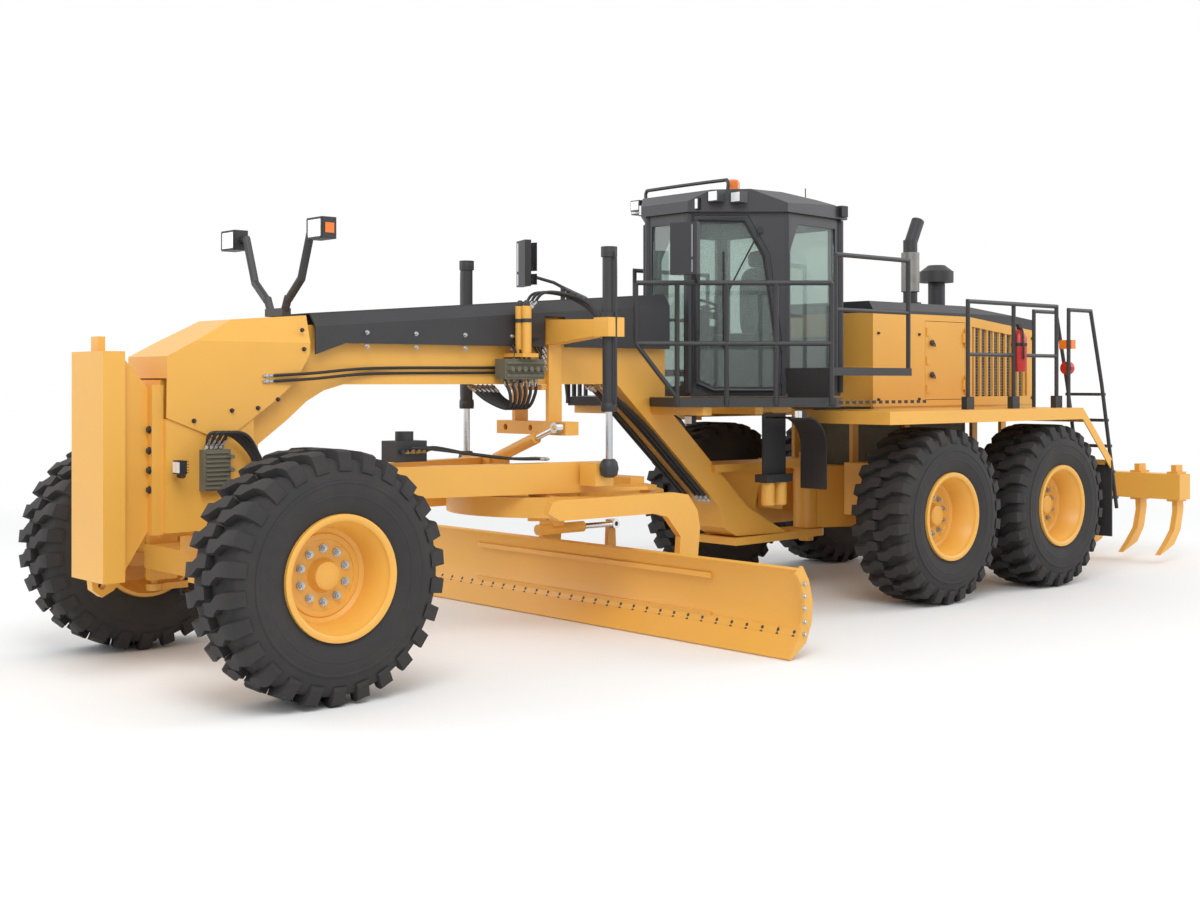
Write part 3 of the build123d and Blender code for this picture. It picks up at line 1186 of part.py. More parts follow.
# Exhaust stack and air pre-cleaner on the hood
LID_TOP_Z = HOOD_TOP_Z + HOOD_LID_T
with BuildPart() as exhaust_intake:
    with Locations((-2430, 300, LID_TOP_Z + SEAT + 15)):
        Cylinder(110, 30)
    with Locations((-2430, 300, LID_TOP_Z + 350)):
        Cylinder(72, 640)
    add(bar((-2430, 300, 3440), (-2560, 300, 3690), 66))
    with Locations((-3300, 0, 2945)):
        Cylinder(90, 330)
    with Locations((-3300, 0, 3160)):
        Cylinder(180, 120)
    with Locations((-3300, 0, 3250)):
        Cone(180, 90, 70)
    below_lid = [(x, z + SEAT) for x, z in LID_TOP] + LID_UNDER
    extrude(side_outline(below_lid, 600), amount=1200, mode=Mode.SUBTRACT)
save(exhaust_intake.part, "exhaust_intake")

# Fenders over the tandems with their skirts, the mud flaps behind
with BuildPart() as fenders:
    for side in (-1, 1):
        deck = [
            (FENDER_FRONT_X, FENDER_TOP_Z),
            (FENDER_BEND_X, FENDER_TOP_Z),
            (FENDER_REAR_X, FENDER_REAR_Z),
            (FENDER_REAR_X, FENDER_REAR_Z - FENDER_SKIRT),
            (FENDER_BEND_X, FENDER_TOP_Z - FENDER_SKIRT),
            (FENDER_FRONT_X, FENDER_TOP_Z - FENDER_SKIRT),
        ]
        width = FENDER_OUTER_Y - HOOD_HALF_W - 10
        outer = FENDER_OUTER_Y if side > 0 else -HOOD_HALF_W - 10
        extrude(side_outline(deck, outer), amount=width)
        inner = [(x + (0 if x > FENDER_REAR_X else -50), z - FENDER_T) for x, z in deck[:3]]
        under = inner + [(FENDER_REAR_X - 50, 900), (FENDER_FRONT_X - FENDER_T, 900)]
        under[0] = (FENDER_FRONT_X - FENDER_T, FENDER_TOP_Z - FENDER_T)
        hollow_outer = FENDER_OUTER_Y - FENDER_T if side > 0 else -HOOD_HALF_W - 10
        extrude(side_outline(under, hollow_outer), amount=width - FENDER_T, mode=Mode.SUBTRACT)
        with Locations((-4052, side * 1350, 830)):
            Box(16, 560, 780)
        with Locations((-4040, side * 1120, 1200)):
            Box(60, 900, 50)
save(fenders.part, "fenders")

# Rails on the fenders and the ladders at the rear
with BuildPart() as rear_rails:
    for side in (-1, 1):
        y = side * 1420
        top = FENDER_TOP_Z + SEAT
        add(rail([(-1814, y, top), (-1814, y, 2790), (-3350, y, 2790), (-3350, y, top)]))
        add(rail([(-1814, y, 2290), (-3350, y, 2290)], 18))
        add(rail([(-2580, y, top), (-2580, y, 2790)], RAIL_TUBE_R))
        for post_x in (-1814, -2580, -3350):
            with Locations((post_x, y, top + 60)):
                Box(120, 60, 120)
        for ladder_y in (side * 1080, side * 1480):
            add(rail([(-3478, ladder_y, top), (-3478, ladder_y, 2760), (-3900, ladder_y, 2760), (-4120, ladder_y, 2000), (-4420, ladder_y, 700)], 20))
        for rung in range(5):
            share = rung / 4.6
            with Locations((-4120 - 300 * share - 20, side * 1280, 1900 - 1250 * share)):
                Box(120, 400, 30)
save(rear_rails.part, "rear_rails")

# Ripper: parallel arms and upper links carry a beam of curved shanks
ARM_END_X = RIPPER_PIVOT_X + RIPPER_ARM_DX
ARM_END_Z = RIPPER_PIVOT_Z + RIPPER_ARM_DZ
with BuildPart() as ripper_arm:
    arm = [
        (RIPPER_PIVOT_X + 60, RIPPER_PIVOT_Z - 60),
        (RIPPER_PIVOT_X + 60, RIPPER_PIVOT_Z + 60),
        (-4900, 830),
        (ARM_END_X - 60, ARM_END_Z + 65),
        (ARM_END_X - 60, ARM_END_Z - 65),
        (-4900, 640),
    ]
    for side in (-1, 1):
        extrude(side_outline(arm, side * RIPPER_ARM_Y + RIPPER_ARM_T / 2), amount=RIPPER_ARM_T)
        for pin_x, pin_z in ((RIPPER_PIVOT_X, RIPPER_PIVOT_Z), (ARM_END_X, ARM_END_Z)):
            with Locations(Location((pin_x, side * RIPPER_ARM_Y, pin_z), (90, 0, 0))):
                Cylinder(RIPPER_PIN_R, 170)
    with Locations((-4700, 0, 735)):
        Box(240, 2 * RIPPER_ARM_Y, 130)
save(ripper_arm.part, "ripper_arm")

with BuildPart() as ripper_upper_link:
    for side in (-1, 1):
        lift = RIPPER_LINK_RISE
        y = side * RIPPER_ARM_Y
        add(bar((RIPPER_PIVOT_X, y, RIPPER_PIVOT_Z + lift), (ARM_END_X + 90, y, ARM_END_Z + lift - 8), 32))
        with Locations(Location((RIPPER_PIVOT_X, y, RIPPER_PIVOT_Z + lift), (90, 0, 0))):
            Cylinder(50, RIPPER_ARM_T)
            Cylinder(RIPPER_PIN_R, 170)
    with Locations((-4500, 0, 916)):
        Box(60, 2 * RIPPER_ARM_Y, 60)
save(ripper_upper_link.part, "ripper_upper_link")

with BuildPart() as ripper_beam:
    with Locations(((RIPPER_BEAM_FRONT_X + RIPPER_BEAM_REAR_X) / 2 - 20, 0, (RIPPER_BEAM_BOTTOM_Z + RIPPER_BEAM_TOP_Z) / 2)):
        Box(RIPPER_BEAM_FRONT_X - RIPPER_BEAM_REAR_X - 40, 2 * RIPPER_BEAM_HALF_L, RIPPER_BEAM_TOP_Z - RIPPER_BEAM_BOTTOM_Z)
    for side in (-1, 1):
        for lug_y in (RIPPER_ARM_Y - RIPPER_ARM_T / 2 - GAP - 15, RIPPER_ARM_Y + RIPPER_ARM_T / 2 + GAP + 15):
            lug = [
                (RIPPER_BEAM_FRONT_X - 60, RIPPER_BEAM_BOTTOM_Z),
                (RIPPER_BEAM_FRONT_X - 60, 1090),
                (ARM_END_X + 20, 1090),
                (ARM_END_X + 60, 1000),
                (ARM_END_X + 60, ARM_END_Z - 60),
                (ARM_END_X, ARM_END_Z - 70),
            ]
            extrude(side_outline(lug, side * lug_y + 12), amount=24)
    with Locations(Location((ARM_END_X, 0, ARM_END_Z), (90, 0, 0))):
        Cylinder(RIPPER_PIN_R + RUN, 1200, mode=Mode.SUBTRACT)
    shank = [
        (-5920, 1090),
        (-6070, 1090),
        (-6095, 600),
        (-6030, 360),
        (-5880, 200),
        (-5560, 100),
        (-5720, 220),
        (-5880, 360),
        (-5950, 560),
    ]
    for step in range(SHANK_COUNT):
        y = (step - (SHANK_COUNT - 1) / 2) * SHANK_SPACING
        extrude(side_outline(shank, y + SHANK_T / 2), amount=SHANK_T)
        with Locations((-5990, y, (RIPPER_BEAM_BOTTOM_Z + RIPPER_BEAM_TOP_Z) / 2)):
            Box(200, 130, RIPPER_BEAM_TOP_Z - RIPPER_BEAM_BOTTOM_Z + 50)
save(ripper_beam.part, "ripper_beam")
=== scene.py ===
"""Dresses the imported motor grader: paint, rubber, glass, treads, bolts, lamps, hoses and small fittings.

Metres, in the part's own frame: +X forward, +Y to the machine's left, +Z up.
"""

import math

import bpy
import numpy as np
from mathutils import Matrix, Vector


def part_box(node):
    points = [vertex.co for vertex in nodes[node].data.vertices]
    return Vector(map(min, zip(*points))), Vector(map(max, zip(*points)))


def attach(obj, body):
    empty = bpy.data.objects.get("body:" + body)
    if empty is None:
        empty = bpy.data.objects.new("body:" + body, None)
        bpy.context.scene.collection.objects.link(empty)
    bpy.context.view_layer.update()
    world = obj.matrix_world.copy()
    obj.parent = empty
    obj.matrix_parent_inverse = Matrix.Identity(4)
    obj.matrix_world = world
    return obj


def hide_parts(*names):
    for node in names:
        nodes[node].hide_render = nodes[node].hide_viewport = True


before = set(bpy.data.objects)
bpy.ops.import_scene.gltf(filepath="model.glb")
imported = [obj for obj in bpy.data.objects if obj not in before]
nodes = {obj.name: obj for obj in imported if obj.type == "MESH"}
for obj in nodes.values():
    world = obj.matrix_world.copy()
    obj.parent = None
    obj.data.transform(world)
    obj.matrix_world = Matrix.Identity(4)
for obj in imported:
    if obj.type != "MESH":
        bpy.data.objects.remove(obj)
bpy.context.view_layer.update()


# Materials


def linear(code):
    """An sRGB hex colour as linear RGBA."""
    values = [int(code[i : i + 2], 16) / 255 for i in (1, 3, 5)]
    return [v / 12.92 if v <= 0.04045 else ((v + 0.055) / 1.055) ** 2.4 for v in values] + [1.0]


def add_node(tree, kind, inputs=None, **settings):
    """Adds one node, sets its properties, and sets or links its sockets."""
    node = tree.nodes.new(kind)
    for key, value in settings.items():
        setattr(node, key, value)
    for key, value in (inputs or {}).items():
        if isinstance(value, bpy.types.NodeSocket):
            tree.links.new(value, node.inputs[key])
        else:
            node.inputs[key].default_value = value
    return node


def finish_of(
    name, colour, roughness, metallic=0.0, ior=1.5, worn=None, wear_mm=400.0, bump_mm=0.0, bump=0.0, **more
):
    """A surface of one colour that drifts towards a worn tone, with an optional fine grain.

    wear_mm is the size of the worn patches and bump_mm the size of the grain.
    """
    material = bpy.data.materials.new(name)
    material.use_nodes = True
    tree = material.node_tree
    shader = tree.nodes["Principled BSDF"]
    shader.inputs["Base Color"].default_value = linear(colour)
    shader.inputs["Roughness"].default_value = roughness
    shader.inputs["Metallic"].default_value = metallic
    if not metallic:
        shader.inputs["IOR"].default_value = ior
    for key, value in more.items():
        shader.inputs[key.replace("_", " ")].default_value = value
    place = add_node(tree, "ShaderNodeTexCoord").outputs["Object"]
    if worn:
        patches = add_node(
            tree,
            "ShaderNodeTexNoise",
            {"Vector": place, "Scale": 1000 / wear_mm, "Detail": 4.0, "Roughness": 0.6},
        )
        share = add_node(
            tree,
            "ShaderNodeMapRange",
            {
                "Value": patches.outputs["Fac"],
                "From Min": 0.45,
                "From Max": 0.75,
                "To Min": 0.0,
                "To Max": 0.55,
            },
        )
        tones = {"Factor": share.outputs["Result"], 6: linear(colour), 7: linear(worn)}
        mix = add_node(tree, "ShaderNodeMix", tones, data_type="RGBA")
        tree.links.new(mix.outputs[2], shader.inputs["Base Color"])
    if bump_mm:
        grain_size = {"Vector": place, "Scale": 1000 / bump_mm, "Detail": 3.0}
        grain = add_node(tree, "ShaderNodeTexNoise", grain_size)
        relief = add_node(
            tree, "ShaderNodeBump", {"Height": grain.outputs["Fac"], "Strength": bump, "Distance": 0.002}
        )
        tree.links.new(relief.outputs["Normal"], shader.inputs["Normal"])
    return material


# Baked machine enamel: even, slightly glossy, with a breath of dust
YELLOW = finish_of(
    "machine_enamel_yellow", "#E6AC4C", 0.38, worn="#DEA551", wear_mm=900, bump_mm=6, bump=0.05
)
# Satin powder coat on rails, covers and frames
BLACK = finish_of("powder_coat_black", "#2E2E31", 0.5, worn="#3A3937", wear_mm=700, bump_mm=5, bump=0.08)
# Gloss black of the cab pillars and roof
CAB_BLACK = finish_of("cab_paint_black", "#303034", 0.4, worn="#39393B", wear_mm=900)
# Natural rubber, matt, with random dusty patches
RUBBER = finish_of("tyre_rubber", "#2C2A2A", 0.8, worn="#393633", wear_mm=260, bump_mm=9, bump=0.25)
# Ground and hard-chromed cylinder rod
CHROME = finish_of("hard_chrome", "#D9DADC", 0.12, metallic=1.0)
# Zinc-plated fasteners and hose fittings
ZINC = finish_of("zinc_plate", "#B9BCBE", 0.34, metallic=1.0)
# Laminated cab glass with a green edge tone
GLASS = finish_of("cab_glass", "#C9D8D2", 0.03, ior=1.45, Transmission_Weight=0.88)
# Wire-braided hose with a smooth rubber cover
HOSE = finish_of("hose_rubber", "#1E1E20", 0.55)
# Cast iron under engine paint
CASTING = finish_of("engine_casting", "#6B6858", 0.65, worn="#57554B", wear_mm=200, bump_mm=8, bump=0.2)
# Moulded interior plastic, with a fine pebbled grain
TRIM = finish_of("moulded_trim", "#46464A", 0.7, bump_mm=4, bump=0.15)
# Woven cloth of the seat, matt with a faint sheen
SEAT_CLOTH = finish_of("woven_seat_cloth", "#4C4C50", 0.9, bump_mm=3, bump=0.3, Sheen_Weight=0.3)
# Clear lamp lens over a bright bowl
LENS = finish_of("lamp_lens", "#E6EAEC", 0.12, ior=1.49, Coat_Weight=0.6)
# Amber acrylic lens, clear enough to look wet
AMBER = finish_of("amber_acrylic", "#E8761E", 0.18, ior=1.49, Coat_Weight=0.5)
# Red enamel of the extinguisher and the tail lamps
RED = finish_of("red_enamel", "#B4211C", 0.3)
# Silvered mirror glass
MIRROR = finish_of("mirror_glass", "#DDE2E4", 0.03, metallic=1.0)
# Galvanised exhaust pipe
PIPE = finish_of("pipe_steel", "#8E8C88", 0.45, metallic=0.8, worn="#6D6862", wear_mm=120)
# Oiled black steel of the wear edges
EDGE_STEEL = finish_of("wear_edge_steel", "#3A3939", 0.45, worn="#4A4845", wear_mm=300, bump_mm=5, bump=0.1)

PAINT = {
    "front_frame": YELLOW,
    "push_block": YELLOW,
    "nose_cover": YELLOW,
    "beam_cover": BLACK,
    "lamp_mast": BLACK,
    "front_axle": YELLOW,
    "blade_saddle": YELLOW,
    "lift_barrels": BLACK,
    "hydraulics": YELLOW,
    "cab_shell": CAB_BLACK,
    "cab_glass": GLASS,
    "cab_roof": CAB_BLACK,
    "cab_interior": TRIM,
    "cab_platforms": BLACK,
    "cab_door_left": CAB_BLACK,
    "cab_door_right": CAB_BLACK,
    "door_glass_left": GLASS,
    "door_glass_right": GLASS,
    "knuckle_left": YELLOW,
    "knuckle_right": YELLOW,
    "tie_rod": BLACK,
    "lift_rod_left": CHROME,
    "lift_rod_right": CHROME,
    "drawbar": YELLOW,
    "centre_shift_barrel": YELLOW,
    "centre_shift_rod": CHROME,
    "circle": YELLOW,
    "tip_rod": CHROME,
    "blade_carriage": YELLOW,
    "moldboard": YELLOW,
    "rear_frame": YELLOW,
    "tandem_cases": YELLOW,
    "engine_block": CASTING,
    "hood_panels": YELLOW,
    "hood_top": BLACK,
    "engine_door_left": YELLOW,
    "engine_door_right": YELLOW,
    "exhaust_intake": BLACK,
    "fenders": YELLOW,
    "rear_rails": BLACK,
    "ripper_arm": YELLOW,
    "ripper_upper_link": YELLOW,
    "ripper_beam": YELLOW,
}
for node_name, paint in PAINT.items():
    nodes[node_name].data.materials.clear()
    nodes[node_name].data.materials.append(paint)


# Shapes

AHEAD = (1, 0, 0)
LEFT = (0, 1, 0)
UP = (0, 0, 1)
SHARP_FROM = math.radians(35)


def place_mesh(name, points, faces, material, body, smooth=True):
    """Puts arrays of points and faces into an object that rides on a body."""
    mesh = bpy.data.meshes.new(name)
    mesh.from_pydata(points.tolist(), [], faces)
    mesh.materials.append(material)
    mesh.update()
    if smooth:
        mesh.shade_smooth()
        mesh.set_sharp_from_angle(angle=SHARP_FROM)
    thing = bpy.data.objects.new(name, mesh)
    bpy.context.scene.collection.objects.link(thing)
    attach(thing, body)
    return thing


def grid_faces(rows, columns, wrap_rows=False, wrap_columns=False):
    """Quads over a grid of rows by columns of points, wrapped where a direction closes on itself."""
    last_row = rows if wrap_rows else rows - 1
    last_column = columns if wrap_columns else columns - 1
    row, column = np.meshgrid(np.arange(last_row), np.arange(last_column), indexing="ij")
    next_row, next_column = (row + 1) % rows, (column + 1) % columns
    corners = [row * columns + column, row * columns + next_column, next_row * columns + next_column,
               next_row * columns + column]
    return np.stack(corners, -1).reshape(-1, 4).tolist()


def join(parts):
    """Several (points, faces) pairs as one."""
    points, faces, start = [], [], 0
    for part_points, part_faces in parts:
        points.append(part_points)
        faces += [[i + start for i in face] for face in part_faces]
        start += len(part_points)
    return np.concatenate(points), faces


def basis(along):
    """Two unit vectors square to a direction and to each other."""
    along = np.array(along, float)
    along /= np.linalg.norm(along)
    side = np.cross(along, (0, 0, 1) if abs(along[2]) < 0.9 else (1, 0, 0))
    side /= np.linalg.norm(side)
    return along, side, np.cross(side, along)


def prism(centre, along, radius, length, sides=6, taper=1.0):
    """A right prism: a ring of corners at each end of a line through the centre, with both ends closed."""
    along, side, up = basis(along)
    turn = np.arange(sides) * 2 * math.pi / sides
    ring = np.outer(np.cos(turn), side) + np.outer(np.sin(turn), up)
    centre = np.array(centre, float)
    low = centre - along * length / 2 + ring * radius
    high = centre + along * length / 2 + ring * radius * taper
    faces = grid_faces(2, sides, wrap_columns=True)
    faces = [f[::-1] for f in faces]
    ends = [list(range(sides)), list(range(2 * sides - 1, sides - 1, -1))]
    return np.concatenate([low, high]), faces + ends


def block(centre, size, turn=0.0):
    """A box by its centre and size, turned about the vertical by degrees."""
    corners = np.array([(x, y, z) for x in (-0.5, 0.5) for y in (-0.5, 0.5) for z in (-0.5, 0.5)]) * size
    angle = math.radians(turn)
    cosine, sine = math.cos(angle), math.sin(angle)
    spin = np.array([[cosine, sine, 0], [-sine, cosine, 0], [0, 0, 1]])
    faces = [[0, 1, 3, 2], [4, 6, 7, 5], [0, 4, 5, 1], [2, 3, 7, 6], [0, 2, 6, 4], [1, 5, 7, 3]]
    return corners @ spin + np.array(centre), faces


def smooth_path(points, steps=8):
    """A curve through the points: each stretch is a cubic in its share t of the stretch, which blends the
    four nearest points so that the slope at a point follows its two neighbours."""
    points = np.array(points, float)
    padded = np.concatenate([2 * points[:1] - points[1:2], points, 2 * points[-1:] - points[-2:-1]])
    t = np.linspace(0, 1, steps, endpoint=False)[:, None]
    before, here, after, beyond = (padded[i : len(padded) - 3 + i, None] for i in range(4))
    t = t[None]
    run = 0.5 * (
        2 * here
        + (after - before) * t
        + (2 * before - 5 * here + 4 * after - beyond) * t**2
        + (3 * here - before - 3 * after + beyond) * t**3
    )
    return np.concatenate([run.reshape(-1, 3), points[-1:]])


def tube(points, radius, sides=10, curved=True):
    """A round profile carried along a path, with its ring kept square to the path at every station."""
    path = smooth_path(points) if curved else np.array(points, float)
    tangent = np.gradient(path, axis=0)
    tangent /= np.linalg.norm(tangent, axis=1, keepdims=True)
    reference = basis(tangent[0])[1]
    rings = []
    turn = np.arange(sides) * 2 * math.pi / sides
    for spot, forward in zip(path, tangent):
        reference = reference - forward * reference.dot(forward)
        reference /= np.linalg.norm(reference)
        other = np.cross(forward, reference)
        rings.append(spot + radius * (np.outer(np.cos(turn), reference) + np.outer(np.sin(turn), other)))
    points = np.concatenate(rings)
    faces = grid_faces(len(path), sides, wrap_columns=True)
    last = (len(path) - 1) * sides
    return points, faces + [list(range(sides))[::-1], list(range(last, last + sides))]


def turned(profile, centre, along, sides=48):
    """A profile of (distance along, radius) pairs turned about a line through the centre."""
    along, side, up = basis(along)
    profile = np.array(profile, float)
    turn = np.arange(sides) * 2 * math.pi / sides
    ring = np.outer(np.cos(turn), side) + np.outer(np.sin(turn), up)
    points = np.array(centre) + profile[:, None, :1] * along + profile[:, None, 1:] * ring[None]
    return points.reshape(-1, 3), grid_faces(len(profile), sides, wrap_columns=True)


def mirrored(part):
    """The same shape on the other side of the machine, with its faces turned to point outwards."""
    points, faces = part
    return points * (1, -1, 1), [face[::-1] for face in faces]


def group(name, parts, material, body, smooth=True):
    """Several shapes as one object."""
    return place_mesh(name, *join(parts), material, body, smooth)


def both(parts):
    """Shapes of the left side, and the same on the right."""
    return parts + [mirrored(part) for part in parts]


def bolt(centre, along, radius=0.015):
    """A washer, a hexagonal head and the chamfer on it, standing out along a direction."""
    along = np.array(along, float)
    centre = np.array(centre, float)
    return join([
        prism(centre + along * 0.002, along, radius * 1.35, 0.004, 14),
        prism(centre + along * 0.011, along, radius, 0.014, 6),
        prism(centre + along * 0.019, along, radius * 0.96, 0.003, 6, 0.8),
    ])


def fitting(centre, along, radius=0.016):
    """A hose end: crimped collar, hexagon and threaded shank in line."""
    along = np.array(along, float) / np.linalg.norm(along)
    centre = np.array(centre, float)
    return join([
        prism(centre - along * 0.035, along, radius * 0.9, 0.04, 12),
        prism(centre, along, radius * 1.15, 0.022, 6),
        prism(centre + along * 0.02, along, radius * 0.7, 0.02, 10),
    ])


def hose_run(paths, radius, name, body):
    """Rubber hoses along paths, with a plated fitting at both ends of each."""
    group(name, [tube(path, radius) for path in paths], HOSE, body)
    ends = []
    for path in paths:
        path = np.array(path, float)
        ends.append(fitting(path[0], path[0] - path[1], radius * 1.2))
        ends.append(fitting(path[-1], path[-1] - path[-2], radius * 1.2))
    group(name + "_fittings", ends, ZINC, body)


def led_lamp(name, centre, facing, body, width=0.1, height=0.09, depth=0.05, turn=0.0):
    """A finned black housing with two lens cells on the side it faces (+1 forward, -1 back)."""
    centre = np.array(centre, float)
    housing = [block(centre, (depth, width, height), turn)]
    for fin in np.linspace(-0.4, 0.4, 5) * height:
        fin_centre = centre + (-facing * (depth / 2 + 0.008), 0, fin)
        housing.append(block(fin_centre, (0.016, width * 0.9, 0.004), turn))
    group(name + "_housing", housing, HOSE, body, False)
    cell_size = (0.006, width * 0.42, height * 0.8)
    cells = [
        block(centre + (facing * (depth / 2 + 0.002), side * width * 0.24, 0), cell_size, turn)
        for side in (-1, 1)
    ]
    group(name + "_lenses", cells, LENS, body, False)


# Wheels: treads with two rows of stepped lugs, and dished rims with their nuts

TIP_R = 0.803
ROOT_R = 0.748
BEAD_R = 0.402
RIDGE_H = 0.0035
LUGS = 26
NUTS = 10
NUT_CIRCLE_R = 0.17


def carcass_profile():
    """Radius over the tyre's width: straight tread, rounded shoulder, bulged side, bead."""
    side = np.linspace(0, 1, 12)
    bulge_u = 0.262 + 0.036 * np.sin(side * math.pi)
    radius = ROOT_R - 0.028 - side * (ROOT_R - 0.028 - BEAD_R)
    half = [(0.0, ROOT_R), (0.12, ROOT_R - 0.001), (0.2, ROOT_R - 0.004), (0.24, ROOT_R - 0.012)]
    half += list(zip(bulge_u, radius))
    return half[::-1] + [(-u, r) for u, r in half[1:]]


def lug_row(side):
    """One row of lugs. Along a lug, u runs from the centre line to the shoulder and the arc steps sideways
    like a Z; its foot stands in the carcass and its top narrows a little."""
    u = np.array([-0.012, 0.02, 0.085, 0.115, 0.16, 0.225, 0.262, 0.288])
    step = np.array([0.0, 0.0, 0.004, 0.03, 0.062, 0.07, 0.072, 0.072])
    top = np.array([TIP_R, TIP_R, TIP_R, TIP_R, TIP_R, TIP_R - 0.002, TIP_R - 0.016, ROOT_R - 0.05])
    foot = np.full(8, ROOT_R - 0.03)
    foot[-1] = ROOT_R - 0.075
    half = np.array([0.044, 0.05, 0.052, 0.05, 0.05, 0.056, 0.057, 0.057])
    corner_arc = np.stack([step - half, step - half * 0.84, step + half * 0.84, step + half], -1)
    corner_r = np.stack([foot, top, top, foot], -1)
    pitch = 2 * math.pi / LUGS
    start = (np.arange(LUGS) + (0.25 if side > 0 else -0.25)) * pitch
    angle = start[:, None, None] + side * corner_arc[None] / TIP_R
    radius = np.broadcast_to(corner_r, angle.shape)
    across = np.broadcast_to(side * u[None, :, None], angle.shape)
    points = np.stack([radius * np.cos(angle), across, radius * np.sin(angle)], -1)
    faces = []
    quads = grid_faces(8, 4) + [[0, 3, 2, 1][::-1], [28, 29, 30, 31][::-1]]
    for lug in range(LUGS):
        faces += [[i + lug * 32 for i in quad] for quad in quads]
    return points.reshape(-1, 3), faces


def tyre_mesh():
    """The carcass with both lug rows, about the axle at the origin."""
    carcass = turned(carcass_profile(), (0, 0, 0), LEFT, sides=104)
    ridges = []
    for u, radius in ((0.2965, 0.60), (0.2935, 0.52)):
        for side in (-1, 1):
            crest = side * (u + RIDGE_H)
            ring = [
                (side * u, radius - 0.012),
                (crest, radius - 0.004),
                (crest, radius + 0.004),
                (side * u, radius + 0.012),
            ]
            ridges.append(turned(ring, (0, 0, 0), LEFT, sides=104))
    return join([carcass, lug_row(1), lug_row(-1)] + ridges)


def rim_mesh(side):
    """Flanged barrel, deep cone, disc with a raised ring, hub and cap: a profile turned about the axle,
    with side +1 or -1 for the outer face."""
    profile = [
        (-0.285, 0.395), (-0.285, 0.372), (-0.27, 0.368), (-0.02, 0.30), (-0.004, 0.27), (-0.004, 0.0),
    ]
    outer = [
        (0.115, 0.0), (0.115, 0.078), (0.107, 0.09), (0.055, 0.1), (0.042, 0.112), (0.042, 0.225),
        (0.05, 0.23), (0.05, 0.262), (0.042, 0.27), (0.06, 0.298), (0.235, 0.338), (0.25, 0.352),
        (0.276, 0.356), (0.285, 0.366), (0.289, 0.384), (0.285, 0.4), (0.27, 0.402), (-0.27, 0.402),
        (-0.285, 0.395),
    ]
    points = [(u * side, r) for u, r in outer + profile]
    return turned(points, (0, 0, 0), LEFT, sides=96)


def wheel_nuts(side):
    """Hexagonal nuts with washers and stud ends on a circle round the hub."""
    parts = []
    for nut in range(NUTS):
        turn = 2 * math.pi * (nut + 0.5) / NUTS
        x, z = NUT_CIRCLE_R * math.cos(turn), NUT_CIRCLE_R * math.sin(turn)
        parts.append(prism((x, side * 0.046, z), LEFT, 0.027, 0.012, 16))
        parts.append(prism((x, side * 0.06, z), LEFT, 0.021, 0.024, 6))
        parts.append(prism((x, side * 0.075, z), LEFT, 0.011, 0.02, 10))
    return join(parts)


TYRE = tyre_mesh()
for place in ("front", "middle", "rear"):
    for side_name, side in (("left", 1), ("right", -1)):
        low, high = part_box(f"rim_{place}_{side_name}")
        centre = np.array((low + high) / 2)
        body = f"wheel_{place}_{side_name}"
        tyre = place_mesh(f"tread_{place}_{side_name}", TYRE[0] + centre, TYRE[1], RUBBER, body)
        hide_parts(f"tyre_{place}_{side_name}")
        points, faces = rim_mesh(side)
        rim = place_mesh(f"disc_{place}_{side_name}", points + centre, faces, YELLOW, body)
        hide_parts(f"rim_{place}_{side_name}")
        points, faces = wheel_nuts(side)
        place_mesh(f"wheel_nuts_{place}_{side_name}", points + centre, faces, ZINC, body)


# Push block and nose: bolts, side lamp, valve manifold and its hoses
PLATE_FACE_X = 5.7705
NOSE_FACE_Y = 0.3005
COVER_FACE_Y = 0.2725
front_bolts = [bolt((PLATE_FACE_X, 0.125, z), AHEAD, 0.02) for z in (1.10, 1.30, 1.50, 1.70, 1.90)]
front_bolts += [bolt((PLATE_FACE_X, 0.215, z), AHEAD, 0.02) for z in (1.31, 1.44, 1.57, 1.71)]
group("push_block_bolts", both(front_bolts), BLACK, "front_body")
nose_spots = [(5.496, 1.766), (5.215, 1.832), (5.016, 1.847), (4.86, 1.905), (4.668, 2.396), (4.652, 2.261)]
cover_spots = [(x, z) for x in (4.107, 3.671, 3.212, 2.748) for z in (2.392, 2.288)]
nose_bolts = [bolt((x, NOSE_FACE_Y, z), LEFT, 0.012) for x, z in nose_spots]
group("nose_bolts", both(nose_bolts), BLACK, "front_body")
cover_bolts = [bolt((x, COVER_FACE_Y, z), LEFT, 0.013) for x, z in cover_spots]
group("cover_bolts", both(cover_bolts), ZINC, "front_body")
led_lamp("nose_side_lamp", (5.64, 0.39, 1.463), 1, "front_body")
lamp_arm = tube([(5.60, 0.285, 1.40), (5.60, 0.36, 1.40), (5.62, 0.39, 1.43)], 0.014)
group("nose_side_lamp_arm", [lamp_arm], BLACK, "front_body")
manifold = [block((5.35, 0.32, 1.43), (0.2, 0.064, 0.28))]
manifold += [block((5.35, 0.357, z), (0.17, 0.014, 0.012)) for z in np.arange(1.31, 1.56, 0.03)]
manifold += [prism((5.25, 0.36, z), LEFT, 0.016, 0.05, 10) for z in (1.34, 1.43, 1.52)]
group("nose_manifold", manifold, CASTING, "front_body", False)
nose_hoses = [
    [
        (5.42 - 0.035 * i, 0.335, 1.59),
        (5.40 - 0.04 * i, 0.36 + 0.01 * i, 1.68),
        (5.25 - 0.03 * i, 0.37 + 0.015 * i, 1.66),
        (5.10 - 0.02 * i, 0.36, 1.52),
        (5.03 - 0.03 * i, 0.31, 1.36),
    ]
    for i in range(4)
]
hose_run(nose_hoses, 0.013, "nose_hoses", "front_body")
beam_side = [
    [
        (4.95, 0.305, z),
        (4.6, 0.325, z + 0.02),
        (4.0, 0.215, z + 0.06),
        (3.0, 0.213, z + 0.07),
        (2.62, 0.213, z + 0.08),
    ]
    for z in (2.03, 2.07)
]
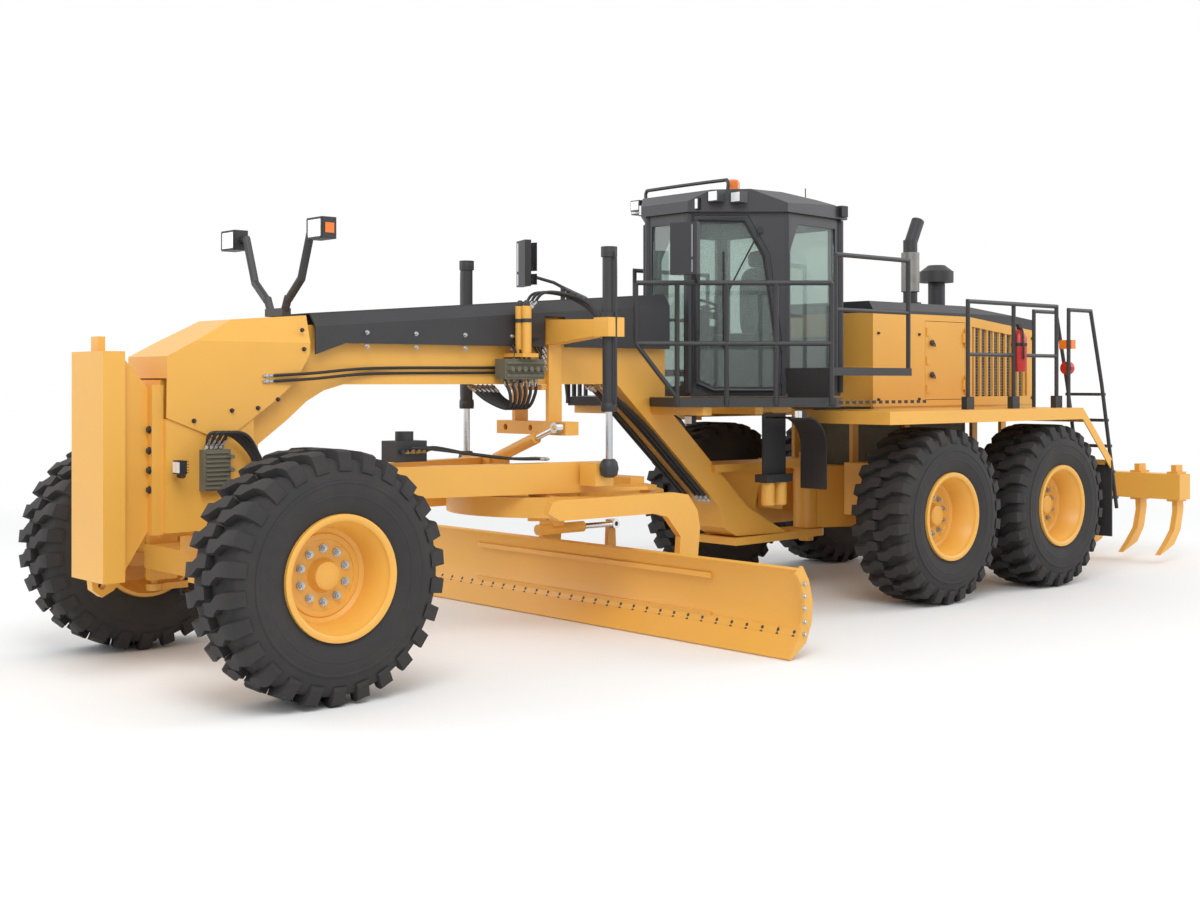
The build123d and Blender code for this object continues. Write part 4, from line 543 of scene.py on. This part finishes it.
hose_run(beam_side, 0.011, "beam_side_lines", "front_body")
led_lamp("beam_lamp", (2.66, 0.245, 2.06), 1, "front_body", 0.07, 0.08)

# Lamp mast: lenses over the lamps, their bezels and amber markers
MAST_LAMP_Y = 0.62
MAST_LAMP_Z = 3.09
mast_lenses = [block((4.7575, side * MAST_LAMP_Y, MAST_LAMP_Z), (0.007, 0.17, 0.12)) for side in (-1, 1)]
group("mast_lenses", mast_lenses, LENS, "front_body", False)
bezel_bars = (
    (0, 0.067, 0.19, 0.014), (0, -0.067, 0.19, 0.014), (0.092, 0, 0.014, 0.13), (-0.092, 0, 0.014, 0.13),
)
mast_bezels = [
    block((4.756, side * MAST_LAMP_Y + y, MAST_LAMP_Z + z), (0.014, width, height))
    for side in (-1, 1)
    for y, z, width, height in bezel_bars
]
group("mast_bezels", mast_bezels, HOSE, "front_body", False)
mast_markers = [block((4.70, side * 0.7215, MAST_LAMP_Z), (0.07, 0.006, 0.07)) for side in (-1, 1)]
group("mast_markers", mast_markers, AMBER, "front_body", False)

# Lift cylinders: glands, end caps, steel lines and the ball under each rod
LIFT_X = 2.3
LIFT_Y = 0.93
LIFT_BALL_Z = 1.35
GLAND = [(-0.03, 0.0), (-0.03, 0.060), (-0.024, 0.064), (0.024, 0.064), (0.03, 0.060), (0.03, 0.0)]
BALL_CUP = [
    (0.075, 0.0), (0.075, 0.045), (0.05, 0.066), (0.0, 0.076), (-0.05, 0.066), (-0.07, 0.04), (-0.07, 0.0),
]
for side_name, side in (("left", 1), ("right", -1)):
    y = side * LIFT_Y
    rings = [turned(GLAND, (LIFT_X, y, z), UP, 40) for z in (1.83, 3.045)]
    group(f"lift_glands_{side_name}", rings, BLACK, "front_body")
    seat_y, run_y = y + side * 0.05, y + side * 0.078
    line = [(seat_y, 3.0), (run_y, 2.98), (run_y, 2.3), (run_y, 1.9), (seat_y, 1.87)]
    group(f"lift_line_{side_name}", [tube([(LIFT_X, *spot) for spot in line], 0.011)], BLACK, "front_body")
    cup = turned(BALL_CUP, (LIFT_X, y, LIFT_BALL_Z), UP, 40)
    group(f"lift_ball_{side_name}", [cup], BLACK, f"lift_rod_{side_name}")
saddle_hoses = [
    [
        (2.62, 0.27 + 0.05 * i, 2.63),
        (2.55, 0.32 + 0.06 * i, 2.74),
        (2.40, 0.5 + 0.04 * i, 2.72),
        (2.33, 0.70 + 0.03 * i, 2.62),
        (2.31, 0.84, 2.50 - 0.05 * i),
    ]
    for i in range(3)
]
hose_run(saddle_hoses, 0.012, "saddle_hoses", "front_body")

# Drawbar: swivel valve block with hoses
valve = [block((3.66, 0.1, 1.5), (0.28, 0.2, 0.16)), prism((3.66, 0.1, 1.61), UP, 0.07, 0.08, 24)]
valve += [prism((3.56 + 0.05 * i, 0.215, 1.5), LEFT, 0.018, 0.04, 6) for i in range(5)]
group("drawbar_valve", valve, BLACK, "drawbar", False)
drawbar_hoses = [
    [
        (3.56 + 0.05 * i, 0.235, 1.5),
        (3.52 + 0.05 * i, 0.30, 1.53),
        (3.2, 0.33 + 0.02 * i, 1.47),
        (2.9, 0.40 + 0.03 * i, 1.43),
        (2.62, 0.42 + 0.04 * i, 1.42),
    ]
    for i in range(4)
]
hose_run(drawbar_hoses, 0.012, "drawbar_hoses", "drawbar")

# Moldboard: cutting edges in four lengths, plough bolts and end plate bolts

BLADE_ARC_X = 2.128
BLADE_ARC_Z = 0.372
EDGE_INNER_R = 0.4175
EDGE_OUTER_R = 0.4315
BOLT_HEAD_R = 0.4165
BLADE_HALF = 2.43
EDGE_SPLIT = 2.2
EDGE_GAP = 0.005


def blade_spot(turn, radius):
    """A point of the blade's section by its angle and radius about the curve's centre."""
    angle = math.radians(turn)
    return np.array([BLADE_ARC_X + radius * math.cos(angle), 0, BLADE_ARC_Z + radius * math.sin(angle)])


def edge_strip(low_y, high_y):
    """A strip that follows the blade's curve: an arc of two radii carried straight across the machine."""
    turns = np.linspace(203, 218.5, 9)
    inner = np.array([blade_spot(turn, EDGE_INNER_R) for turn in turns])
    outer = np.array([blade_spot(turn, EDGE_OUTER_R) for turn in turns[::-1]])
    ring = np.concatenate([inner, outer])
    points = np.concatenate([ring + (0, low_y, 0), ring + (0, high_y, 0)])
    faces = grid_faces(2, len(ring), wrap_columns=True)
    return points, faces + [list(range(len(ring)))[::-1], list(range(len(ring), 2 * len(ring)))]


strips = [
    (-BLADE_HALF, -EDGE_SPLIT - EDGE_GAP),
    (-EDGE_SPLIT + EDGE_GAP, -EDGE_GAP),
    (EDGE_GAP, EDGE_SPLIT - EDGE_GAP),
    (EDGE_SPLIT + EDGE_GAP, BLADE_HALF),
]
group("cutting_edges", [edge_strip(low, high) for low, high in strips], YELLOW, "moldboard")
plough_bolts = []
for turn in (206.5, 211.5):
    spot = blade_spot(turn, BOLT_HEAD_R)
    inward = blade_spot(turn, 0.0) - blade_spot(turn, 1.0)
    for y in np.arange(-2.3625, 2.4, 0.1575):
        plough_bolts.append(prism(spot + (0, y, 0), inward, 0.017, 0.005, 12, 0.6))
group("plough_bolts", plough_bolts, EDGE_STEEL, "moldboard")
end_bolts = [bolt((1.752, 2.4555, z), LEFT, 0.013) for z in (0.548, 0.46, 0.37, 0.27, 0.18)]
group("end_plate_bolts", both(end_bolts), ZINC, "moldboard")

# Gooseneck leg: hoses down its front, filters, curved guard and work lamps
leg_hoses = [
    [(1.60, y, 1.985), (1.585 - 0.02 * i, y, 1.93), (1.2, y, 1.655), (0.75, y, 1.26), (0.42, y, 0.97)]
    for i, y in enumerate((0.175, 0.12, 0.065, -0.065, -0.12))
]
hose_run(leg_hoses, 0.016, "leg_hoses", "front_body")
FILTER_XS = (0.10, -0.06)
FILTER_Y = 0.62
CANISTER = [(0.0, 0.0), (0.0, 0.05), (0.012, 0.062), (0.2, 0.062), (0.21, 0.058), (0.21, 0.0)]
filters = [turned(CANISTER, (x, FILTER_Y, 0.92), UP, 36) for x in FILTER_XS]
group("filters", filters, YELLOW, "front_body")
filter_heads = [
    block((0.02, FILTER_Y, 1.165), (0.34, 0.15, 0.07)),
    block((0.02, FILTER_Y, 1.46), (0.3, 0.02, 0.57)),
]
filter_heads += [prism((x, FILTER_Y, 1.135), UP, 0.066, 0.016, 24) for x in FILTER_XS]
group("filter_heads", filter_heads, BLACK, "front_body", False)


def curved_guard(low_y, high_y):
    """A plate bent on a quarter circle and then straight down, carried across the machine."""
    turn = np.linspace(90, 0, 14) * math.pi / 180
    arc = np.stack([0.02 - 0.26 * np.cos(turn), 0 * turn, 1.46 + 0.26 * np.sin(turn)], -1)
    arc = np.concatenate([[(0.24, 0, 1.72)], arc, [(-0.24, 0, 1.08)]])
    inner = arc.copy()
    inner[:, 0] += 0.012
    inner[:, 2] -= 0.012
    ring = np.concatenate([arc, inner[::-1]])
    points = np.concatenate([ring + (0, low_y, 0), ring + (0, high_y, 0)])
    faces = grid_faces(2, len(ring), wrap_columns=True)
    faces = [face[::-1] for face in faces]
    caps = []
    for i in range(len(arc) - 1):
        j = len(ring) - 1 - i
        caps.append([i, i + 1, j - 1, j])
        caps.append([len(ring) + k for k in (j, j - 1, i + 1, i)])
    return points, faces + caps


group("curved_guard", both([curved_guard(0.72, 1.02)]), BLACK, "front_body")
led_lamp("step_lamp", (0.985, 0.52, 1.70), 1, "front_body", 0.09, 0.08)
led_lamp("platform_lamp", (0.62, 1.45, 1.76), 1, "front_body", 0.08, 0.07)

# Platform edge: row of drain slots in the skirt, drawn as thin dark patches of painted shade where the
# openings are
# Each slot is a dark patch on the skirt's face: painted shade standing in for the opening, not a real hole.
slot_shade_patches = [block((x, 1.5905, 1.855), (0.05, 0.002, 0.028)) for x in np.arange(-0.9, 0.45, 0.09)]
group("platform_slot_shade", both(slot_shade_patches), HOSE, "front_body", False)

# Cab: wiper, latches, mirrors, roof lamps, beacon, hoop and the furnished inside


def ring_tube(points, radius):
    """A round profile carried along straight runs between corners and back to the first corner."""
    return tube(points + points[:1], radius, 8, curved=False)


DOOR_START = np.array([0.75, 0.28, 0.0])
DOOR_END = np.array([0.13, 0.85, 0.0])
DOOR_LINE = DOOR_END - DOOR_START
DOOR_LINE /= np.linalg.norm(DOOR_LINE)
DOOR_OUT = np.array([DOOR_LINE[1], -DOOR_LINE[0], 0.0])


def door_spot(along, height, out=0.0):
    """A point on the door's face from its distance along the face, its height and its distance out."""
    return DOOR_START + DOOR_LINE * along + DOOR_OUT * out + np.array([0, 0, height])


wiper_arm = [door_spot(0.62, 3.37, 0.022), door_spot(0.45, 3.05, 0.026), door_spot(0.30, 2.75, 0.022)]
wiper = [
    tube(wiper_arm, 0.008, 6, False),
    tube([door_spot(0.30, 3.18, 0.014), door_spot(0.30, 2.32, 0.014)], 0.009, 6, False),
    prism(door_spot(0.62, 3.37, 0.016), DOOR_OUT, 0.03, 0.03, 16),
]
DOOR_TURN = -math.degrees(math.atan2(DOOR_LINE[1], DOOR_LINE[0]))
latch = [block(door_spot(0.07, 2.42, 0.012), (0.05, 0.02, 0.14), DOOR_TURN)]
group("door_fittings_left", wiper + latch, HOSE, "cab_door_left")
group("door_fittings_right", [mirrored(part) for part in wiper + latch], HOSE, "cab_door_right")

mirror_faces = []
MIRROR_TURN = 20
MIRROR_SPOT = (1.57, 1.04, 3.11)
MIRROR_FACE_BACK = 0.0315
for side in (-1, 1):
    turn = side * MIRROR_TURN
    away = math.radians(turn)
    spot = np.array(MIRROR_SPOT) * (1, side, 1)
    spot = spot - np.array([math.cos(away), math.sin(away), 0]) * MIRROR_FACE_BACK
    for z, height in ((0.06, 0.26), (-0.145, 0.1)):
        mirror_faces.append(block(spot + (0, 0, z), (0.004, 0.21, height), -turn))
group("mirror_faces", mirror_faces, MIRROR, "front_body", False)

roof_lens = [block((0.687, side * 0.5, 3.66), (0.006, 0.1, 0.08)) for side in (-1, 1)]
roof_lens += [block((0.547, side * 0.64, 3.65), (0.006, 0.1, 0.08)) for side in (-1, 1)]
roof_lens += [block((-0.847, side * y, 3.59), (0.006, 0.1, 0.08)) for side in (-1, 1) for y in (0.38, 0.56)]
group("roof_lenses", roof_lens, LENS, "front_body", False)
BEACON_X = 0.30
BEACON_Y = 0.38
dome = [(0.0, 0.0), (0.0, 0.062), (0.09, 0.060), (0.11, 0.045), (0.115, 0.0)]
group("beacon", [turned(dome, (BEACON_X, BEACON_Y, 3.735), UP, 32)], AMBER, "front_body")
foot = [(0.0, 0.0), (0.0, 0.065), (0.025, 0.065), (0.03, 0.0)]
group("beacon_foot", [turned(foot, (BEACON_X, BEACON_Y, 3.71), UP, 32)], HOSE, "front_body")
hoop = [
    (0.52, 0.52, 3.70), (0.52, 0.52, 3.80), (0.52, 0.40, 3.815),
    (0.52, -0.40, 3.815), (0.52, -0.52, 3.80), (0.52, -0.52, 3.70),
]
group("roof_hoop", [tube(hoop, 0.016)], CAB_BLACK, "front_body")
antenna = [
    tube([(-0.62, 0.45, 3.62), (-0.60, 0.46, 3.84)], 0.005, 6, False),
    prism((-0.62, 0.45, 3.64), UP, 0.016, 0.05, 12),
]
group("antenna", antenna, HOSE, "front_body")


def cushion(centre, size, round_by=4.0):
    """A superellipsoid: each axis follows a signed power of sine and cosine of latitude v and
    longitude u, so it is a box with swollen faces; a point at each pole closes it."""
    rings, around = 15, 28
    v = np.linspace(-math.pi / 2, math.pi / 2, rings + 2)[1:-1, None]
    u = np.linspace(-math.pi, math.pi, around, endpoint=False)[None]

    def power(value):
        return np.sign(value) * np.abs(value) ** (2 / round_by)

    x = power(np.cos(v)) * power(np.cos(u))
    y = power(np.cos(v)) * power(np.sin(u))
    z = power(np.sin(v)) * np.ones_like(u)
    points = np.stack([x, y, z], -1).reshape(-1, 3) * np.array(size) / 2 + np.array(centre)
    faces = grid_faces(rings, around, wrap_columns=True)
    ends = np.array([[0, 0, -size[2] / 2], [0, 0, size[2] / 2]]) + np.array(centre)
    points = np.concatenate([points, ends])
    low_pole = rings * around
    last = low_pole - around
    faces += [[(i + 1) % around, i, low_pole] for i in range(around)]
    faces += [[last + i, last + (i + 1) % around, low_pole + 1] for i in range(around)]
    return points, faces


def steering_ring():
    """A torus for the rim with three spokes to its hub, tipped to face the seat."""
    u = np.arange(48)[:, None] * 2 * math.pi / 48
    v = np.arange(10)[None] * 2 * math.pi / 10
    grip_r = 0.014
    reach = 0.185 + grip_r * np.cos(v)
    ring = np.stack([reach * np.cos(u), reach * np.sin(u), grip_r * np.sin(v) * np.ones_like(u)], -1)
    parts = [(ring.reshape(-1, 3), grid_faces(48, 10, True, True)), prism((0, 0, 0), UP, 0.045, 0.03, 20)]
    for turn in (90, 210, 330):
        far = np.array([math.cos(math.radians(turn)), math.sin(math.radians(turn)), 0]) * 0.18
        parts.append(tube([(0, 0, 0), far], 0.01, 8, False))
    points, faces = join(parts)
    tip = math.radians(-25)
    spin = np.array([[math.cos(tip), 0, -math.sin(tip)], [0, 1, 0], [math.sin(tip), 0, math.cos(tip)]])
    return points @ spin + (0.255, 0, 2.70), faces


inside = [
    block((-0.25, 0, 2.12), (0.42, 0.42, 0.3)),
    block((-0.25, 0, 2.30), (0.5, 0.5, 0.08)),
    block((-0.55, 0, 2.75), (0.03, 0.44, 0.7)),
    prism((0.33, 0, 2.33), (-0.09, 0, 0.72), 0.055, 0.72, 16),
    block((0.36, 0, 2.0), (0.26, 0.2, 0.07)),
    block((0.27, 0, 2.64), (0.14, 0.26, 0.05)),
]
ARMREST_Y = 0.33
for y in (-ARMREST_Y, ARMREST_Y):
    inside += [
        block((-0.15, y, 2.52), (0.34, 0.11, 0.08)),
        block((-0.15, y, 2.22), (0.12, 0.09, 0.53)),
        block((0.02, y, 2.60), (0.12, 0.10, 0.10)),
        prism((0.04, y, 2.70), UP, 0.014, 0.12, 10),
        prism((0.04, y, 2.77), UP, 0.024, 0.05, 14),
    ]
inside += [block((0.50, -0.36, 2.85), (0.05, 0.16, 0.22), 30), block((0.42, -0.42, 2.45), (0.03, 0.03, 0.7))]
cab_fit = group("cab_fit_out", inside, TRIM, "front_body", False)
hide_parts("cab_interior")
group("steering_wheel", [steering_ring()], HOSE, "front_body")
for name, centre, size in (
    ("seat_cushion", (-0.23, 0, 2.41), (0.5, 0.5, 0.15)),
    ("seat_back", (-0.48, 0, 2.78), (0.13, 0.48, 0.68)),
    ("head_rest", (-0.49, 0, 3.2), (0.1, 0.28, 0.16)),
):
    pad = group(name, [cushion(centre, size)], SEAT_CLOTH, "front_body")


# Cab frame: round tubes at the corners and round each door's pane
cab_corners = ((0.735, 0.262), (0.098, 0.835), (-0.742, 0.752))
corner_tubes = [tube([(x, y, 1.93), (x, y, 3.52)], 0.036, 12, False) for x, y in cab_corners]
group("cab_pillars", both(corner_tubes), CAB_BLACK, "front_body")
door_outline = [
    (0.062, 2.02), (0.21, 1.955), (0.772, 1.955), (0.772, 2.41),
    (0.668, 3.155), (0.49, 3.462), (0.062, 3.462),
]
door_tube = ring_tube([door_spot(along, height, 0.012) for along, height in door_outline], 0.02)
group("door_frame_left", [door_tube], CAB_BLACK, "cab_door_left")
group("door_frame_right", [mirrored(door_tube)], CAB_BLACK, "cab_door_right")
ROOF_POD_Z = 3.60
roof_pods = []
for x, y in ((0.70, 0.33), (-0.70, 0.80)):
    roof_pods.append(block((x, y, ROOF_POD_Z), (0.09, 0.1, 0.1)))
    pod_stem = [(x, y, 3.56), (x - 0.03, y - 0.03, 3.50)]
    roof_pods.append(tube(pod_stem, 0.012, 8, False))
group("roof_pods", both(roof_pods), HOSE, "front_body", False)
pod_lens = block((0.747, 0.33, ROOF_POD_Z), (0.006, 0.085, 0.085))
group("roof_pod_lenses", both([pod_lens]), LENS, "front_body", False)

# Saddle: valve bank under the accumulators, with spools, pipes and clamped hose loops
BANK_X = 2.70
BANK_Y = 0.315
BANK_Z = 2.13
bank = [block((BANK_X, BANK_Y, BANK_Z), (0.40, 0.13, 0.16))]
bank += [block((BANK_X, 0.387, z), (0.38, 0.014, 0.02)) for z in (2.08, BANK_Z, 2.18)]
bank += [prism((2.54 + 0.064 * i, 0.40, BANK_Z), LEFT, 0.02, 0.06, 12) for i in range(6)]
group("saddle_valves", bank, CASTING, "front_body", False)
bank_hoses = [
    [
        (2.54 + 0.064 * i, BANK_Y, 2.045),
        (2.55 + 0.06 * i, 0.32 + 0.012 * i, 1.93),
        (2.60 + 0.05 * i, 0.27 + 0.015 * i, 1.82),
        (2.72 + 0.045 * i, 0.16 + 0.01 * i, 1.88),
        (2.80 + 0.045 * i, 0.10, 1.985),
    ]
    for i in range(6)
]
hose_run(bank_hoses, 0.014, "saddle_bank_hoses", "front_body")
top_pipes = [
    [
        (2.62 + 0.05 * i, 0.33, 2.21),
        (2.62 + 0.05 * i, 0.345, 2.27),
        (2.60 + 0.05 * i, 0.29, 2.33),
        (2.45 + 0.04 * i, 0.26, 2.38),
        (2.39, 0.25, 2.30 - 0.05 * i),
    ]
    for i in range(4)
]
hose_run(top_pipes, 0.010, "saddle_pipes", "front_body")
cap = [(0, 0.0), (0, 0.024), (0.03, 0.024), (0.045, 0.018), (0.05, 0.0)]
band = [(0, 0.038), (0, 0.042), (0.03, 0.042), (0.03, 0.038)]
accumulator_caps = []
for y in (BANK_Y, 0.40):
    accumulator_caps.append(turned(cap, (BANK_X, y, 2.63), UP, 24))
    accumulator_caps.append(turned(band, (BANK_X, y, 2.50), UP, 32))
group("accumulator_caps", accumulator_caps, BLACK, "front_body")

# Mud flaps of black rubber over their plates, and the walkway's edge beam
flaps = [block((-4.052, 1.35, 0.83), (0.022, 0.566, 0.786))]
group("mud_flaps", both(flaps), RUBBER, "rear_body", False)
edge_beams = [block((-0.48, 1.301, 2.12), (1.24, 0.006, 0.07))]
group("walkway_edges", both(edge_beams), BLACK, "front_body", False)

# Rear: door latches, grille wires over a sheet of painted shade, bolts, exhaust shield, extinguisher and
# tail lamps

LATCH_X = -2.30
GRILLE_Y = 0.6165
for side_name, side in (("left", 1), ("right", -1)):
    y = side * 0.667
    hardware = [prism((LATCH_X, y, z), LEFT, 0.03, 0.012, 20) for z in (2.10, 2.42)]
    near, far = y + side * 0.008, y + side * 0.026
    for z in (2.10, 2.42):
        ring = [(-2.325, near, z), (-2.315, far, z - 0.03), (-2.285, far, z - 0.03), (-2.275, near, z)]
        hardware.append(tube(ring, 0.006, 8))
    group(f"door_latches_{side_name}", hardware, BLACK, f"engine_door_{side_name}")
    # A dark sheet just behind the grille wires: painted shade for the dark seen through the grille.
    mesh = block((-3.52, side * 0.612, 2.24), (1.02, 0.004, 0.72))
    group(f"grille_shade_sheet_{side_name}", [mesh], HOSE, "rear_body", False)
    y = side * GRILLE_Y
    wires = [tube([(x, y, 1.89), (x, y, 2.59)], 0.0022, 4, False) for x in np.arange(-4.02, -3.01, 0.03)]
    wires += [tube([(-4.02, y, z), (-3.02, y, z)], 0.0022, 4, False) for z in np.arange(1.9, 2.6, 0.03)]
    group(f"grille_wires_{side_name}", wires, ZINC, "rear_body", False)
hood_spots = [(x, z) for x in (-1.45, -2.1, -2.94, -4.12) for z in (1.86, 2.5)]
group("hood_bolts", both([bolt((x, 0.651, z), LEFT, 0.011) for x, z in hood_spots]), BLACK, "rear_body")
AXLE_Z = 0.805
CASE_BOLTS = 12
CASE_BOLT_R = 0.215
case_bolts = []
for wheel_x in (-1.2795, -3.1205):
    for step in range(CASE_BOLTS):
        turn = 2 * math.pi * step / CASE_BOLTS
        x, z = wheel_x + CASE_BOLT_R * math.cos(turn), AXLE_Z + CASE_BOLT_R * math.sin(turn)
        case_bolts.append(bolt((x, 0.9105, z), LEFT, 0.012))
group("tandem_bolts", both(case_bolts), ZINC, "rear_body")
shield = [(0, 0.0), (0, 0.088), (0.004, 0.092), (0.40, 0.092), (0.404, 0.088), (0.404, 0.0)]
group("exhaust_shield", [turned(shield, (-2.43, 0.3, 2.95), UP, 40)], PIPE, "rear_body")
BOTTLE_X = -2.675
BOTTLE_Y = 1.42
bottle = [(0, 0.0), (0.0, 0.06), (0.02, 0.072), (0.34, 0.072), (0.40, 0.035), (0.42, 0.02), (0.42, 0.0)]
group("extinguisher", [turned(bottle, (BOTTLE_X, BOTTLE_Y, 2.13), UP, 36)], RED, "rear_body")
bottle_hose = [(BOTTLE_X, BOTTLE_Y, 2.56), (-2.64, 1.48, 2.53), (-2.61, 1.51, 2.40), (-2.63, 1.50, 2.25)]
bottle_strap = [(0, 0.074), (0.0, 0.078), (0.03, 0.078), (0.03, 0.074)]
bottle_top = [
    block((BOTTLE_X, BOTTLE_Y, 2.57), (0.05, 0.03, 0.05)),
    tube(bottle_hose, 0.01, 8),
    turned(bottle_strap, (BOTTLE_X, BOTTLE_Y, 2.38), UP, 36),
]
group("extinguisher_top", bottle_top, HOSE, "rear_body")
TAIL_X = -3.52
TAIL_Y = 1.44
amber_lamp = block((TAIL_X, TAIL_Y, 2.41), (0.08, 0.14, 0.09))
group("tail_lamp_amber", both([amber_lamp]), AMBER, "rear_body", False)
group("tail_lamp_red", both([prism((TAIL_X, TAIL_Y, 2.17), AHEAD, 0.065, 0.06, 24)]), RED, "rear_body")

# Floor, light and camera

floor_mesh = bpy.data.meshes.new("floor")
FLOOR_HALF = 60
floor_corners = [(x * FLOOR_HALF, y * FLOOR_HALF, 0) for x, y in ((-1, -1), (1, -1), (1, 1), (-1, 1))]
floor_mesh.from_pydata(floor_corners, [], [(0, 1, 2, 3)])
floor = bpy.data.objects.new("floor", floor_mesh)
bpy.context.scene.collection.objects.link(floor)
FLOOR_PAINT = bpy.data.materials.new("floor_paint")
FLOOR_PAINT.use_nodes = True
floor_tree = FLOOR_PAINT.node_tree
floor_shader = floor_tree.nodes["Principled BSDF"]
floor_shader.inputs["Base Color"].default_value = linear("#F4F4F3")
floor_shader.inputs["Roughness"].default_value = 0.8
# Towards the horizon the camera sees the floor fade to white; the shadow's part keeps its paint
floor_spot = add_node(floor_tree, "ShaderNodeTexCoord").outputs["Object"]
reach = add_node(floor_tree, "ShaderNodeVectorMath", {0: floor_spot}, operation="LENGTH").outputs["Value"]
fade = {"Value": reach, "From Min": 8.0, "From Max": 15.0}
far_share = add_node(floor_tree, "ShaderNodeMapRange", fade).outputs[0]
floor_rays = add_node(floor_tree, "ShaderNodeLightPath").outputs
white_share = add_node(
    floor_tree, "ShaderNodeMath", {0: far_share, 1: floor_rays["Is Camera Ray"]}, operation="MULTIPLY"
)
floor_white = add_node(floor_tree, "ShaderNodeEmission", {"Color": linear("#FFFFFF"), "Strength": 1.0})
floor_mix = add_node(
    floor_tree,
    "ShaderNodeMixShader",
    {0: white_share.outputs[0], 1: floor_shader.outputs[0], 2: floor_white.outputs[0]},
)
floor_tree.links.new(floor_mix.outputs[0], floor_tree.nodes["Material Output"].inputs["Surface"])
floor_mesh.materials.append(FLOOR_PAINT)

world = bpy.data.worlds.new("soft_sky")
bpy.context.scene.world = world
world.use_nodes = True
sky_tree = world.node_tree
rays = add_node(sky_tree, "ShaderNodeLightPath").outputs
direct_rays = {0: rays["Is Camera Ray"], 1: rays["Is Transmission Ray"]}
seen = add_node(sky_tree, "ShaderNodeMath", direct_rays, operation="ADD").outputs[0]
all_rays = {0: seen, 1: rays["Is Glossy Ray"]}
mirrored_too = add_node(sky_tree, "ShaderNodeMath", all_rays, operation="ADD", use_clamp=True)
SKY_LIGHT = sky_tree.nodes["Background"]
SKY_LIGHT.inputs["Color"].default_value = linear("#F2F4F6")
SKY_LIGHT.inputs["Strength"].default_value = 0.85
SKY_SEEN = add_node(sky_tree, "ShaderNodeBackground", {"Color": linear("#FFFFFF"), "Strength": 1.0})
sky_inputs = {0: mirrored_too.outputs[0], 1: SKY_LIGHT.outputs[0], 2: SKY_SEEN.outputs[0]}
both_skies = add_node(sky_tree, "ShaderNodeMixShader", sky_inputs)
sky_tree.links.new(both_skies.outputs[0], sky_tree.nodes["World Output"].inputs["Surface"])


def lamp(name, place, aim, size, power):
    """A square soft light that faces a point."""
    light = bpy.data.lights.new(name, "AREA")
    light.size = size
    light.energy = power
    thing = bpy.data.objects.new(name, light)
    thing.location = place
    thing.rotation_euler = (Vector(aim) - Vector(place)).to_track_quat("-Z", "Y").to_euler()
    bpy.context.scene.collection.objects.link(thing)


lamp("key_light", (9, 9, 12), (0, 0, 1.2), 8, 1050)
lamp("side_light", (12, -9, 8), (2, 0, 1.5), 9, 500)
lamp("back_light", (-12, 8, 9), (-2, 0, 1.5), 9, 600)

CAMERA_PLACE = (10.1959, 9.6705, 2.0253)
CAMERA_TURN = 138.10
CAMERA_LENS = 45.09
camera_data = bpy.data.cameras.new("camera")
camera_data.sensor_width = 36
camera_data.lens = CAMERA_LENS
camera_data.shift_x = -0.0033
camera_data.shift_y = -0.0564
camera_data.clip_end = 200
camera = bpy.data.objects.new("camera", camera_data)
camera.location = CAMERA_PLACE
camera.rotation_euler = (math.radians(90), 0, math.radians(CAMERA_TURN))
bpy.context.scene.collection.objects.link(camera)
bpy.context.scene.camera = camera
bpy.context.scene.view_settings.view_transform = "Standard"
